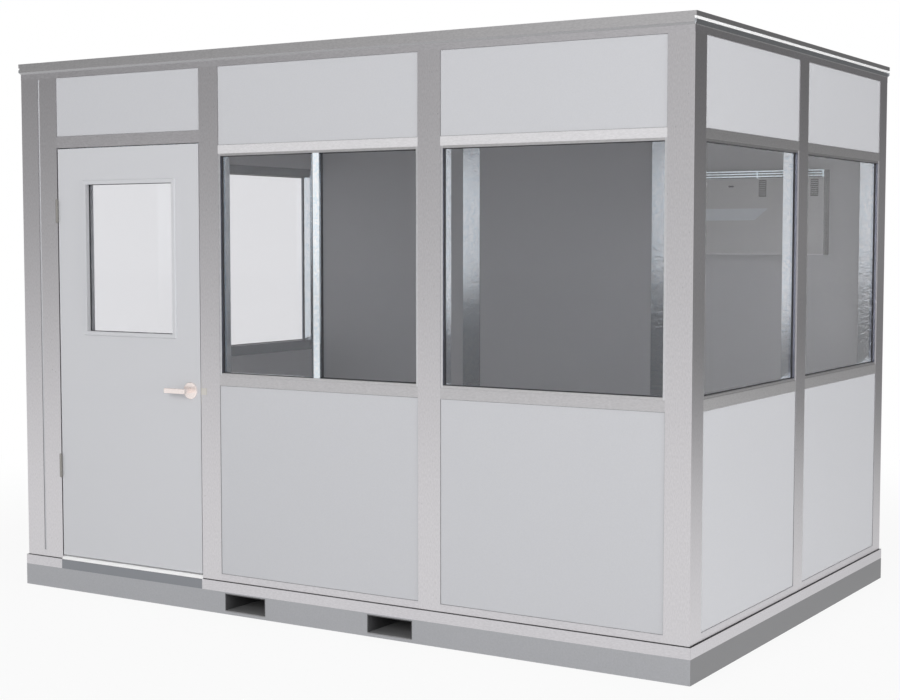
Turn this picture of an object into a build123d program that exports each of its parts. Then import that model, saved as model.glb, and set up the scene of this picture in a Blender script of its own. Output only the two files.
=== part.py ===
"""A portable modular office, 12 ft by 8 ft, on a steel base with fork pockets.

The walls are 4 ft modules: extruded aluminium posts, tracks and rails hold
laminated panels and glass. All lengths are millimetres. X runs along the front
from left to right, Y runs from the front to the back and Z is up. The origin is
on the ground under the middle of the walls.
"""

import os

from build123d import *

os.makedirs("parts", exist_ok=True)

# Plan and wall section
module_width = 1219.2
front_modules = 3
side_modules = 2
wall_thickness = 76.2
skin_thickness = 3.0
post_width = 114.3
post_edge_radius = 2.0
groove_depth = 20.0
fit_clearance = 1.0
mitre_gap = 0.3

# Heights of the wall, above the top of the base
wall_height = 2438.4
gasket_height = 3.0
bottom_track_height = 35.0
head_track_height = 33.0
sill_rail_foot_height = 926.0
sill_rail_height = 46.5
head_rail_foot_height = 2004.0
head_rail_height = 39.0
rail_groove_depth = 12.0

# Base
base_overhang_width = 8.0
rail_height = 104.8
rail_flange_width = 50.0
rail_web_thickness = 6.0
rail_flange_thickness = 5.0
floor_height = 47.6
band_thickness = 3.0
band_flange_width = 40.0
cross_member_width = 50.8
cross_member_wall_thickness = 4.0
cross_member_spacing = 700.0
cross_member_count = 5

# Fork pockets
pocket_width = 228.6
pocket_height = 76.2
pocket_wall_thickness = 4.8
pocket_floor_height = 18.0
pocket_spacing = 812.8

# Roof
roof_overhang_width = 8.0
fascia_height = 46.6
fascia_drop_height = 5.4
fascia_thickness = 3.0
fascia_bevel_height = 10.0
fascia_top_width = 60.0
fascia_foot_width = 30.0
drip_lip_height = 20.0
drip_bevel_height = 9.0
drip_depth = 7.0
deck_pitch = 152.4
deck_height = 36.0
deck_thickness = 1.6
deck_rib_top_width = 90.0
deck_rib_foot_width = 110.0
deck_side_gap = 12.0
ceiling_thickness = 12.7

# Windows
frame_sight_width = 11.0
glass_thickness = 6.0
glass_setback_depth = 17.0
glass_bite_depth = 8.0
slider_setback_depth = 33.0
stile_width = 35.0
stile_setback_depth = 14.0
stile_depth = 28.0

# Door
door_gap = 5.0
strip_panel_width = 13.05
door_height = 2032.0
door_foot_height = 22.0
door_thickness = 44.45
door_setback_depth = 2.0
door_edge_bevel_width = 3.0
header_height = 56.4
stop_width = 14.0
lite_width = 596.0
lite_height = 762.0
lite_top_margin = 156.5
lite_offset_width = 12.0
lite_rim_width = 21.0
lite_lap_width = 11.0
lite_proud_thickness = 6.0
lite_chamfer_width = 4.0
threshold_height = 14.0
threshold_slope_width = 14.0
threshold_flute_pitch = 6.0
threshold_flute_width = 3.0
threshold_flute_depth = 1.5
threshold_flute_count = 8

# Hinges
hinge_height = 114.3
hinge_center_heights = (475.0, 1748.0)
hinge_leaf_depth = 36.0
hinge_leaf_thickness = 2.0
hinge_knuckle_radius = 6.5
hinge_pin_radius = 3.0
hinge_pin_offset = 7.0
hinge_pin_clearance = 0.05
hinge_knuckle_gap = 0.3
hinge_knuckles = 5
hinge_tip_height = 3.0

# Lever lock
lock_height = 893.0
lock_backset_width = 60.3
rose_radius = 40.0
rose_thickness = 9.0
rose_edge_width = 3.0
lever_neck_radius = 11.5
lever_clearance = 0.05
lever_length = 117.0
lever_blade_height = 24.0
lever_blade_thickness = 14.0
lever_blade_gap_depth = 38.0
lever_end_radius = 4.0
lever_edge_radius = 2.0
lock_bore_radius = 27.0
chassis_gap = 0.3
latch_plate_width = 25.4
latch_plate_height = 57.0
latch_plate_thickness = 2.0
strike_depth = 32.0
strike_height = 124.0
strike_thickness = 1.5
strike_lip_width = 34.0
strike_lip_height = 32.0

# Air conditioner in the back wall
ac_width = 728.0
ac_height = 439.0
ac_center_height = 1748.5
ac_room_depth = 82.0
ac_cover_depth = 26.0
ac_outdoor_depth = 230.0
ac_louvre_band_height = 39.0
ac_louvre_thickness = 4.0
ac_louvre_count = 3
ac_louvre_rise_height = 5.0
ac_edge_radius = 6.0
ac_end_wall_width = 12.0
ac_divider_width = 8.0
ac_outlet_depth = 20.0
ac_panel_height = 242.0
ac_seam_width = 3.0
ac_grip_height = 62.0
ac_grip_depth = 8.0
ac_grip_left_width = 330.0
ac_grip_right_width = 62.0
ac_grip_slant_width = 76.0
ac_grille_thickness = 8.0
ac_grille_rows = 12
ac_grille_margin_width = 30.0
ac_grille_slot_height = 14.0
ac_vent_count = 8
ac_vent_pitch = 20.0
ac_vent_width = 6.0
ac_vent_height = 150.0
ac_vent_depth = 4.0

# Where a rectangle or a box stands on its place
from_corner = (Align.MIN, Align.MIN)
from_face = (Align.CENTER, Align.MIN)
on_floor = (Align.CENTER, Align.CENTER, Align.MIN)
against_face = (Align.CENTER, Align.MIN, Align.CENTER)

# Sizes that follow from the ones above
length = front_modules * module_width
depth = side_modules * module_width
half_length = length / 2
half_depth = depth / 2
panel_thickness = wall_thickness - 2 * skin_thickness
base_top = rail_height + floor_height
wall_top = base_top + wall_height
roof_top = wall_top + fascia_height
post_low = base_top + gasket_height
post_high = wall_top - head_track_height
edge_insert = groove_depth - fit_clearance
rail_insert = rail_groove_depth - fit_clearance
window_low = base_top + sill_rail_foot_height + sill_rail_height
window_high = base_top + head_rail_foot_height
panel_low = post_low + skin_thickness
door_right = -half_length + module_width - post_width / 2
door_opening_width = module_width - 2.5 * post_width - strip_panel_width
door_left = door_right - door_opening_width
door_low = base_top + door_foot_height
door_high = door_low + door_height
header_low = door_high + door_gap
header_high = header_low + header_height
jamb_post_x = door_left - post_width / 2
leaf_left = door_left + door_gap
leaf_right = door_right - door_gap
door_front = -half_depth + door_setback_depth
door_back = door_front + door_thickness
stop_front = door_back + door_gap
room_front = -half_depth + wall_thickness
ac_low = base_top + ac_center_height - ac_height / 2
ac_high = ac_low + ac_height

# Each wall's turn about the middle of the plan, and how far out its face is
walls = {
    "front": (0, half_depth),
    "right": (90, half_length),
    "back": (180, half_depth),
    "left": (270, half_length),
}
plan_corners = ((-1, -1), (1, -1), (1, 1), (-1, 1))
corner_places = [
    Location((side * half_length, end * half_depth, 0), (0, 0, 90 * turn))
    for turn, (side, end) in enumerate(plan_corners)
]


def save(piece, name):
    """Label one finished piece and write it under its own name."""
    piece.label = name
    export_step(piece, f"parts/{name}.step")


def wall_place(wall, along, inward=0.0):
    """A place on a wall, along it from its middle and inward from its face."""
    angle, reach = walls[wall]
    return Location((0, 0, 0), (0, 0, angle)) * Location((along, inward - reach, 0))


def bay(modules, index):
    """The middle and the clear width of one bay between its two posts."""
    start = -modules * module_width / 2
    left_post = post_width if index == 0 else post_width / 2
    right_post = post_width if index == modules - 1 else post_width / 2
    left = start + index * module_width + left_post
    right = start + (index + 1) * module_width - right_post
    return (left + right) / 2, right - left


def stand(outline, places, low, high, mode=Mode.ADD):
    """Extrude one plan outline upward at each of its places."""
    with BuildSketch(Plane.XY.offset(low)) as plan:
        with Locations(*places):
            add(outline)
    extrude(plan.sketch, amount=high - low, mode=mode)


def plan_rectangle(along, across):
    """A plan outline that reaches inward from the wall's face."""
    with BuildSketch() as outline:
        Rectangle(along, across, align=from_face)
    return outline.sketch


def run(outline, wall, along, length_of_run, mode=Mode.ADD):
    """Extrude a section, drawn inward and upward, along a wall about one point."""
    start = wall_place(wall, along - length_of_run / 2)
    with BuildSketch(Plane(start * Plane.YZ.location)) as section:
        add(outline)
    extrude(section.sketch, amount=length_of_run, mode=mode)


def mitred_member(outline, wall, proud, gap=0.0):
    """One side of a ring round the building, with its ends cut at 45 degrees."""
    angle, reach = walls[wall]
    half_run = half_length + half_depth - reach + proud - gap / 2**0.5
    with BuildPart() as member:
        with BuildSketch(Plane.YZ.offset(-half_run)):
            add(outline)
        extrude(amount=2 * half_run)
        for end in (-1, 1):
            corner = Plane(origin=(end * half_run, 0, 0), z_dir=(end, 1, 0))
            split(bisect_by=corner, keep=Keep.BOTTOM)
    return member.part.moved(wall_place(wall, 0, -proud))


def ring_section(*outline_points):
    """A closed section for a ring member, from points given inward and upward."""
    with BuildSketch() as section:
        with BuildLine():
            Polyline(*outline_points, close=True)
        make_face()
    return section.sketch


# Sections and plans of the extrusions
hollow_height = rail_height - 2 * rail_flange_thickness
with BuildSketch() as rail_section:
    Rectangle(rail_flange_width, rail_height, align=from_corner)
    with Locations((rail_web_thickness, rail_flange_thickness)):
        Rectangle(rail_flange_width, hollow_height, align=from_corner, mode=Mode.SUBTRACT)

band_section = ring_section(
    (0, rail_height),
    (0, base_top),
    (band_flange_width, base_top),
    (band_flange_width, base_top - band_thickness),
    (band_thickness, base_top - band_thickness),
    (band_thickness, rail_height),
)

with BuildSketch() as post_plan:
    Rectangle(post_width, wall_thickness, align=from_face)
    with Locations((0, wall_thickness / 2)):
        core_width = post_width - 2 * groove_depth - 2 * skin_thickness
        Rectangle(core_width, panel_thickness, mode=Mode.SUBTRACT)
        with GridLocations(post_width - groove_depth, 0, 2, 1):
            Rectangle(groove_depth, panel_thickness, mode=Mode.SUBTRACT)

with BuildSketch() as corner_plan:
    Rectangle(post_width, wall_thickness, align=from_corner)
    Rectangle(wall_thickness, post_width, align=from_corner)
    fillet(corner_plan.vertices().sort_by_distance((0, 0, 0))[0], post_edge_radius)
    core_end = post_width - groove_depth - skin_thickness
    with Locations((skin_thickness, skin_thickness)):
        Rectangle(core_end - skin_thickness, panel_thickness, align=from_corner, mode=Mode.SUBTRACT)
        Rectangle(panel_thickness, core_end - skin_thickness, align=from_corner, mode=Mode.SUBTRACT)
    with Locations((post_width - groove_depth, skin_thickness)):
        Rectangle(groove_depth, panel_thickness, align=from_corner, mode=Mode.SUBTRACT)
    with Locations((skin_thickness, post_width - groove_depth)):
        Rectangle(panel_thickness, groove_depth, align=from_corner, mode=Mode.SUBTRACT)


def track_section(low, high, web_low):
    """A channel as wide as the wall, with its web at web_low."""
    with BuildSketch() as section:
        with Locations((0, low)):
            Rectangle(wall_thickness, high - low, align=from_corner)
        below, above = web_low - low, high - web_low - skin_thickness
        for start, height in ((low, below), (web_low + skin_thickness, above)):
            if height > 0:
                with Locations((skin_thickness, start)):
                    Rectangle(panel_thickness, height, align=from_corner, mode=Mode.SUBTRACT)
    return section.sketch


def rail_outline(low, high, groove_below=rail_groove_depth, groove_above=rail_groove_depth):
    """A horizontal rail as wide as the wall, grooved above and below."""
    with BuildSketch() as section:
        with Locations((0, low)):
            Rectangle(wall_thickness, high - low, align=from_corner)
        with Locations((skin_thickness, low)):
            Rectangle(panel_thickness, groove_below, align=from_corner, mode=Mode.SUBTRACT)
        with Locations((skin_thickness, high - groove_above)):
            Rectangle(panel_thickness, groove_above, align=from_corner, mode=Mode.SUBTRACT)
    return section.sketch


bottom_track = track_section(post_low, base_top + bottom_track_height, post_low)
head_track = track_section(post_high, wall_top, wall_top - skin_thickness)
sill_rail = rail_outline(base_top + sill_rail_foot_height, window_low)
head_rail = rail_outline(window_high, window_high + head_rail_height)

# Bays that hold a window, by wall
front_windows = [bay(front_modules, index) for index in (1, 2)]
side_windows = [bay(side_modules, index) for index in range(side_modules)]
window_bays = {"front": front_windows, "right": side_windows, "left": side_windows}
strip_left = -half_length + post_width
strip_right = door_left - post_width
strip_bay = ((strip_left + strip_right) / 2, strip_right - strip_left)
ac_bay, ac_bay_width = bay(front_modules, front_modules - 1)

# Base rails: a welded ring of channels, the long ones cut for the fork pockets
tube_width = pocket_width + 2 * pocket_wall_thickness
tube_height = pocket_height + 2 * pocket_wall_thickness
tube_center = pocket_floor_height + pocket_height / 2
for rail_wall, rail_name in (("front", "base_rail_front"), ("back", "base_rail_back")):
    with BuildPart() as base_rail:
        add(mitred_member(rail_section.sketch, rail_wall, base_overhang_width))
        rail_y = -half_depth if rail_wall == "front" else half_depth
        with Locations((0, rail_y, tube_center)):
            with GridLocations(pocket_spacing, 0, 2, 1):
                Box(tube_width, 4 * rail_flange_width, tube_height, mode=Mode.SUBTRACT)
    save(base_rail.part, rail_name)

with BuildPart() as base_end_rails:
    for rail_wall in ("left", "right"):
        add(mitred_member(rail_section.sketch, rail_wall, base_overhang_width))
save(base_end_rails.part, "base_end_rails")

with BuildPart() as cross_members:
    web_to_web = depth + 2 * (base_overhang_width - rail_web_thickness)
    lip_to_lip = depth + 2 * (base_overhang_width - rail_flange_width)
    hollow_width = cross_member_width - 2 * cross_member_wall_thickness
    with Locations((0, 0, rail_height / 2)):
        with GridLocations(cross_member_spacing, 0, cross_member_count, 1):
            Box(cross_member_width, lip_to_lip, rail_height)
            Box(cross_member_width, web_to_web, hollow_height)
            Box(hollow_width, web_to_web, rail_height - 2 * cross_member_wall_thickness, mode=Mode.SUBTRACT)
save(cross_members.part, "cross_members")

with BuildPart() as fork_pockets:
    with Locations((0, 0, tube_center)):
        with GridLocations(pocket_spacing, 0, 2, 1):
            Box(tube_width, depth + 2 * base_overhang_width, tube_height)
        with GridLocations(pocket_spacing, 0, 2, 1):
            Box(pocket_width, depth + 2 * base_overhang_width, pocket_height, mode=Mode.SUBTRACT)
save(fork_pockets.part, "fork_pockets")

# Floor: the deck, its edge band, the floor sheet and the gasket under the walls
with BuildPart() as floor_deck:
    with Locations((0, 0, rail_height)):
        Box(
            length + 2 * (base_overhang_width - band_thickness),
            depth + 2 * (base_overhang_width - band_thickness),
            floor_height - band_thickness,
            align=on_floor,
        )
save(floor_deck.part, "floor_deck")

with BuildPart() as floor_sheet:
    with Locations((0, 0, base_top - band_thickness)):
        Box(
            length + 2 * (base_overhang_width - band_flange_width),
            depth + 2 * (base_overhang_width - band_flange_width),
            band_thickness,
            align=on_floor,
        )
save(floor_sheet.part, "floor_sheet")

door_middle = (door_left + door_right) / 2
with BuildPart() as edge_bands:
    for band_wall in walls:
        add(mitred_member(band_section, band_wall, base_overhang_width, mitre_gap))
    with Locations((door_middle, -half_depth, base_top)):
        Box(door_opening_width, 2 * band_flange_width, 2 * floor_height, mode=Mode.SUBTRACT)
save(edge_bands.part, "edge_bands")

with BuildPart() as door_sill:
    with BuildSketch(Plane.YZ.offset(door_left)) as sill_section:
        with Locations((-half_depth - base_overhang_width, 0)):
            add(band_section)
    extrude(sill_section.sketch, amount=door_opening_width)
save(door_sill.part, "door_sill")

with BuildPart() as wall_gasket:
    gasket_run = depth - 2 * wall_thickness
    front_gaskets = ((-half_length + skin_thickness, door_left), (door_right, half_length - skin_thickness))
    for gasket_left, gasket_right in front_gaskets:
        gasket_plan = plan_rectangle(gasket_right - gasket_left, panel_thickness)
        gasket_place = wall_place("front", (gasket_left + gasket_right) / 2, skin_thickness)
        stand(gasket_plan, [gasket_place], base_top, post_low)
    back_plan = plan_rectangle(length - 2 * skin_thickness, panel_thickness)
    stand(back_plan, [wall_place("back", 0, skin_thickness)], base_top, post_low)
    side_plan = plan_rectangle(gasket_run, panel_thickness)
    side_places = [wall_place(side, 0, skin_thickness) for side in ("left", "right")]
    stand(side_plan, side_places, base_top, post_low)
save(wall_gasket.part, "wall_gasket")

with BuildPart() as threshold:
    nose = -half_depth - base_overhang_width
    with BuildSketch(Plane.YZ.offset(door_left)) as threshold_section:
        with BuildLine():
            Polyline(
                (nose, base_top),
                (nose + threshold_slope_width, base_top + threshold_height),
                (room_front - threshold_slope_width, base_top + threshold_height),
                (room_front, base_top),
                close=True,
            )
        make_face()
        with Locations(((nose + room_front) / 2, base_top + threshold_height)):
            with GridLocations(threshold_flute_pitch, 0, threshold_flute_count, 1):
                Rectangle(threshold_flute_width, 2 * threshold_flute_depth, mode=Mode.SUBTRACT)
    extrude(threshold_section.sketch, amount=door_opening_width)
save(threshold.part, "threshold")

# Posts
with BuildPart() as corner_posts:
    stand(corner_plan.sketch, corner_places, post_low, post_high)
save(corner_posts.part, "corner_posts")

strike_center = base_top + lock_height
with BuildPart() as front_posts:
    post_lines = [-half_length + (index + 1) * module_width for index in range(front_modules - 1)]
    stand(post_plan.sketch, [wall_place("front", line) for line in post_lines], post_low, post_high)
    with Locations((door_right, -half_depth + strike_depth / 2, strike_center)):
        Box(2 * strike_thickness, strike_depth, strike_height, mode=Mode.SUBTRACT)
save(front_posts.part, "front_posts")

with BuildPart() as back_posts:
    stand(post_plan.sketch, [wall_place("back", line) for line in post_lines], post_low, post_high)
save(back_posts.part, "back_posts")

with BuildPart() as side_posts:
    stand(post_plan.sketch, [wall_place(side, 0) for side in ("left", "right")], post_low, post_high)
save(side_posts.part, "side_posts")

with BuildPart() as hinge_post:
    stand(post_plan.sketch, [wall_place("front", jamb_post_x)], post_low, post_high)
save(hinge_post.part, "hinge_post")

# Tracks
with BuildPart() as bottom_tracks:
    run(bottom_track, "front", *strip_bay)
    for track_wall, track_bays in window_bays.items():
        for along, width in track_bays:
            run(bottom_track, track_wall, along, width)
    for index in range(front_modules):
        run(bottom_track, "back", *bay(front_modules, index))
save(bottom_tracks.part, "bottom_tracks")

with BuildPart() as head_tracks:
    for track_wall in walls:
        add(mitred_member(head_track, track_wall, 0, mitre_gap))
save(head_tracks.part, "head_tracks")


# Wall panels
def panel(wall, middle_and_width, low, high):
    """One panel that stands in the grooves of its two posts."""
    along, width = middle_and_width
    outline = plan_rectangle(width + 2 * edge_insert, panel_thickness)
    stand(outline, [wall_place(wall, along, skin_thickness)], low, high)


panel_top = post_high + edge_insert
lower_panel_high = base_top + sill_rail_foot_height + rail_insert
upper_panel_low = window_high + head_rail_height - rail_insert
door_bay = (door_middle, door_opening_width)
with BuildPart() as front_panels:
    panel("front", strip_bay, panel_low, panel_top)
    panel("front", door_bay, header_high - rail_insert, panel_top)
    for window_bay in front_windows:
        panel("front", window_bay, panel_low, lower_panel_high)
        panel("front", window_bay, upper_panel_low, panel_top)
save(front_panels.part, "front_panels")

with BuildPart() as side_panels:
    for side in ("left", "right"):
        for window_bay in side_windows:
            panel(side, window_bay, panel_low, lower_panel_high)
            panel(side, window_bay, upper_panel_low, panel_top)
save(side_panels.part, "side_panels")

with BuildPart() as back_panels:
    for index in range(1, front_modules):
        panel("back", bay(front_modules, index), panel_low, panel_top)
save(back_panels.part, "back_panels")

with BuildPart() as back_panel_ac:
    panel("back", bay(front_modules, 0), panel_low, panel_top)
    with Locations((ac_bay, half_depth, (ac_low + ac_high) / 2)):
        Box(ac_width, 4 * wall_thickness, ac_height, mode=Mode.SUBTRACT)
save(back_panel_ac.part, "back_panel_ac")

# Rails above and below the windows
with BuildPart() as window_rails:
    for rail_wall, rail_bays in window_bays.items():
        for along, width in rail_bays:
            run(sill_rail, rail_wall, along, width)
            run(head_rail, rail_wall, along, width)
save(window_rails.part, "window_rails")

# Window frames: upright bars, and level bars between them, grooved for glass
fixed_panes = (glass_setback_depth,)
slider_panes = (glass_setback_depth, slider_setback_depth)
bar_width = edge_insert + frame_sight_width
bar_low = window_low - rail_insert
bar_high = window_high + rail_insert


def jamb_plan(setbacks, hand):
    """The plan of an upright bar; hand is 1 where its glass is on the right."""
    with BuildSketch() as outline:
        with Locations((-hand * edge_insert, skin_thickness)):
            start = Align.MIN if hand > 0 else Align.MAX
            Rectangle(bar_width, panel_thickness, align=(start, Align.MIN))
        for setback in setbacks:
            with Locations((hand * frame_sight_width, setback)):
                end = Align.MAX if hand > 0 else Align.MIN
                Rectangle(glass_bite_depth, glass_thickness, align=(end, Align.MIN), mode=Mode.SUBTRACT)
    return outline.sketch


def level_section(setbacks, low, groove_low):
    """The section of a level bar from low, with its glass grooves at groove_low."""
    with BuildSketch() as section:
        with Locations((skin_thickness, low)):
            Rectangle(panel_thickness, rail_insert + frame_sight_width, align=from_corner)
        for setback in setbacks:
            with Locations((setback, groove_low)):
                Rectangle(glass_thickness, glass_bite_depth, align=from_corner, mode=Mode.SUBTRACT)
    return section.sketch


def upright_bars(wall, along, width, setbacks):
    """The two upright bars of one window frame."""
    for hand in (1, -1):
        edge = wall_place(wall, along - hand * width / 2)
        stand(jamb_plan(setbacks, hand), [edge], bar_low, bar_high)


def level_bars(wall, along, width, setbacks):
    """The bars at the foot and the head of one window frame."""
    clear_width = width - 2 * frame_sight_width
    foot = level_section(setbacks, bar_low, window_low + frame_sight_width - glass_bite_depth)
    head = level_section(setbacks, window_high - frame_sight_width, window_high - frame_sight_width)
    run(foot, wall, along, clear_width)
    run(head, wall, along, clear_width)


slider_bay, fixed_bay = front_windows
frames = [("front", *slider_bay, slider_panes), ("front", *fixed_bay, fixed_panes)]
for side in ("left", "right"):
    frames += [(side, *window_bay, fixed_panes) for window_bay in side_windows]

with BuildPart() as window_uprights:
    for frame in frames:
        upright_bars(*frame)
save(window_uprights.part, "window_uprights")

with BuildPart() as window_crossbars:
    for frame in frames:
        level_bars(*frame)
save(window_crossbars.part, "window_crossbars")

glass_low = window_low + frame_sight_width
glass_high = window_high - frame_sight_width
slot_reach = glass_bite_depth - fit_clearance
with BuildPart() as slider_stile:
    with BuildSketch() as stile_plan:
        with Locations((0, stile_setback_depth)):
            Rectangle(stile_width, stile_depth, align=from_face)
        with Locations((-stile_width / 2, glass_setback_depth)):
            Rectangle(glass_bite_depth, glass_thickness, align=from_corner, mode=Mode.SUBTRACT)
        with Locations((stile_width / 2, slider_setback_depth)):
            Rectangle(glass_bite_depth, glass_thickness, align=(Align.MAX, Align.MIN), mode=Mode.SUBTRACT)
    stand(stile_plan.sketch, [wall_place("front", slider_bay[0])], glass_low, glass_high)
save(slider_stile.part, "slider_stile")


# Glass
def pane(wall, left, right, setback):
    """One sheet of glass between two grooves, from its left to its right sight line."""
    outline = plan_rectangle(right - left + 2 * slot_reach, glass_thickness)
    place = wall_place(wall, (left + right) / 2, setback)
    stand(outline, [place], glass_low - slot_reach, glass_high + slot_reach)


with BuildPart() as window_glass:
    for wall, along, width, setbacks in frames:
        sight = width / 2 - frame_sight_width
        if setbacks == fixed_panes:
            pane(wall, along - sight, along + sight, glass_setback_depth)
        else:
            pane(wall, along - sight, along - stile_width / 2, glass_setback_depth)
            pane(wall, along + stile_width / 2, along + sight, slider_setback_depth)
save(window_glass.part, "window_glass")

# Door frame: the header rail, liners that close the grooves, and the stops
with BuildPart() as door_header:
    run(rail_outline(header_low, header_high), "front", *door_bay)
save(door_header.part, "door_header")

with BuildPart() as door_frame:
    jamb_liner = plan_rectangle(groove_depth, panel_thickness)
    jamb_middles = (door_left - groove_depth / 2, door_right + groove_depth / 2)
    jamb_places = [wall_place("front", middle, skin_thickness) for middle in jamb_middles]
    stand(jamb_liner, jamb_places, post_low, header_low - mitre_gap)
    with BuildSketch() as head_liner:
        with Locations((skin_thickness, header_low)):
            Rectangle(panel_thickness, rail_groove_depth, align=from_corner)
    run(head_liner.sketch, "front", door_middle, door_opening_width)
    with Locations((door_right, -half_depth + strike_depth / 2, strike_center)):
        Box(2 * strike_thickness, strike_depth, strike_height, mode=Mode.SUBTRACT)
save(door_frame.part, "door_frame")

stop_depth = room_front - stop_front
stop_inward = wall_thickness - stop_depth
with BuildPart() as door_stops:
    jamb_stop = plan_rectangle(stop_width, stop_depth)
    stop_middles = (door_left + stop_width / 2, door_right - stop_width / 2)
    stop_places = [wall_place("front", middle, stop_inward) for middle in stop_middles]
    stop_foot = base_top + threshold_height
    stand(jamb_stop, stop_places, stop_foot, header_low - stop_width - mitre_gap)
    with BuildSketch() as head_stop:
        with Locations((stop_inward, header_low - stop_width)):
            Rectangle(stop_depth, stop_width, align=from_corner)
    run(head_stop.sketch, "front", door_middle, door_opening_width)
save(door_stops.part, "door_stops")

with BuildPart() as strike_plate:
    with Locations((door_right, -half_depth, strike_center)):
        Box(
            strike_thickness,
            strike_depth,
            strike_height,
            align=(Align.MIN, Align.MIN, Align.CENTER),
        )
        Box(
            strike_lip_width,
            strike_thickness,
            strike_lip_height,
            align=(Align.MIN, Align.MAX, Align.CENTER),
        )
save(strike_plate.part, "strike_plate")

# Door leaf, cut for its glass and its lock
lite_center = (leaf_left + leaf_right) / 2 + lite_offset_width
lite_middle = door_high - lite_top_margin - lite_height / 2
lock_x = leaf_right - lock_backset_width
with BuildPart() as door_leaf:
    with BuildSketch(Plane.XY.offset(door_low)) as leaf_plan:
        with BuildLine():
            Polyline(
                (leaf_left, door_front),
                (leaf_right, door_front),
                (leaf_right - door_edge_bevel_width, door_back),
                (leaf_left, door_back),
                close=True,
            )
        make_face()
    extrude(leaf_plan.sketch, amount=door_height)
    with Locations((lite_center, (door_front + door_back) / 2, lite_middle)):
        cutout_width = lite_width - 2 * lite_lap_width
        cutout_height = lite_height - 2 * lite_lap_width
        Box(cutout_width, 2 * door_thickness, cutout_height, mode=Mode.SUBTRACT)
    with Locations(Location((lock_x, door_front, strike_center), (90, 0, 0))):
        Cylinder(lock_bore_radius, 3 * door_thickness, mode=Mode.SUBTRACT)
    with Locations((leaf_right, (door_front + door_back) / 2, strike_center)):
        Box(
            2 * (latch_plate_thickness + door_edge_bevel_width),
            latch_plate_width,
            latch_plate_height,
            mode=Mode.SUBTRACT,
        )
save(door_leaf.part, "door_leaf")

with BuildPart() as latch_plate:
    with Locations((leaf_right - door_edge_bevel_width, (door_front + door_back) / 2, strike_center)):
        Box(
            latch_plate_thickness,
            latch_plate_width,
            latch_plate_height,
            align=(Align.MAX, Align.CENTER, Align.CENTER),
        )
save(latch_plate.part, "latch_plate")

with BuildPart() as door_lite_rims:
    for face, outward in ((door_front, -1), (door_back, 1)):
        rim_plane = Plane(
            origin=(lite_center, face, lite_middle), x_dir=(1, 0, 0), z_dir=(0, outward, 0)
        )
        with BuildSketch(rim_plane) as rim_outline:
            Rectangle(lite_width, lite_height)
            Rectangle(lite_width - 2 * lite_rim_width, lite_height - 2 * lite_rim_width, mode=Mode.SUBTRACT)
        extrude(rim_outline.sketch, amount=lite_proud_thickness)
        with BuildSketch(rim_plane) as leg_outline:
            Rectangle(cutout_width, cutout_height)
            Rectangle(lite_width - 2 * lite_rim_width, lite_height - 2 * lite_rim_width, mode=Mode.SUBTRACT)
        extrude(leg_outline.sketch, amount=-(door_thickness - glass_thickness) / 2)
    proud_faces = door_lite_rims.faces().sort_by(Axis.Y)
    outer_edges = [proud_faces[0].outer_wire().edges(), proud_faces[-1].outer_wire().edges()]
    chamfer(outer_edges[0] + outer_edges[1], lite_chamfer_width)
save(door_lite_rims.part, "door_lite_rims")

with BuildPart() as door_glass:
    with Locations((lite_center, (door_front + door_back) / 2, lite_middle)):
        Box(
            lite_width - 2 * (lite_lap_width + fit_clearance),
            glass_thickness,
            lite_height - 2 * (lite_lap_width + fit_clearance),
        )
save(door_glass.part, "door_glass")

# Hinges: five knuckles on one pin, two of them on the door's leaf
pin_x = door_left + door_gap / 2
pin_y = -half_depth - hinge_pin_offset
knuckle_pitch = hinge_height / hinge_knuckles
knuckle_length = knuckle_pitch - hinge_knuckle_gap


def hinge_leaf(hinge_middle, plate_x, plate_align, first, bore_radius):
    """One leaf with every second knuckle, from the one numbered first."""
    hinge_low = hinge_middle - hinge_height / 2
    with Locations((plate_x, -half_depth, hinge_middle)):
        Box(
            hinge_leaf_thickness,
            hinge_leaf_depth,
            hinge_height,
            align=(plate_align, Align.MIN, Align.CENTER),
        )
    for knuckle in range(first, hinge_knuckles, 2):
        knuckle_middle = hinge_low + (knuckle + 0.5) * knuckle_pitch
        with Locations((plate_x, -half_depth, knuckle_middle)):
            Box(
                hinge_leaf_thickness,
                hinge_pin_offset,
                knuckle_length,
                align=(plate_align, Align.MAX, Align.CENTER),
            )
        with Locations((pin_x, pin_y, knuckle_middle)):
            Cylinder(hinge_knuckle_radius, knuckle_length)
    if bore_radius:
        with Locations((pin_x, pin_y, hinge_middle)):
            Cylinder(bore_radius, 2 * hinge_height, mode=Mode.SUBTRACT)


with BuildPart() as hinge_frame_leaves:
    for center in hinge_center_heights:
        hinge_leaf(base_top + center, door_left, Align.MIN, 0, 0)
        with Locations((pin_x, pin_y, base_top + center)):
            Cylinder(hinge_pin_radius, hinge_height + 2 * hinge_tip_height)
save(hinge_frame_leaves.part, "hinge_frame_leaves")

with BuildPart() as hinge_door_leaves:
    for center in hinge_center_heights:
        door_bore = hinge_pin_radius + hinge_pin_clearance
        hinge_leaf(base_top + center, leaf_left, Align.MAX, 1, door_bore)
save(hinge_door_leaves.part, "hinge_door_leaves")

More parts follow.
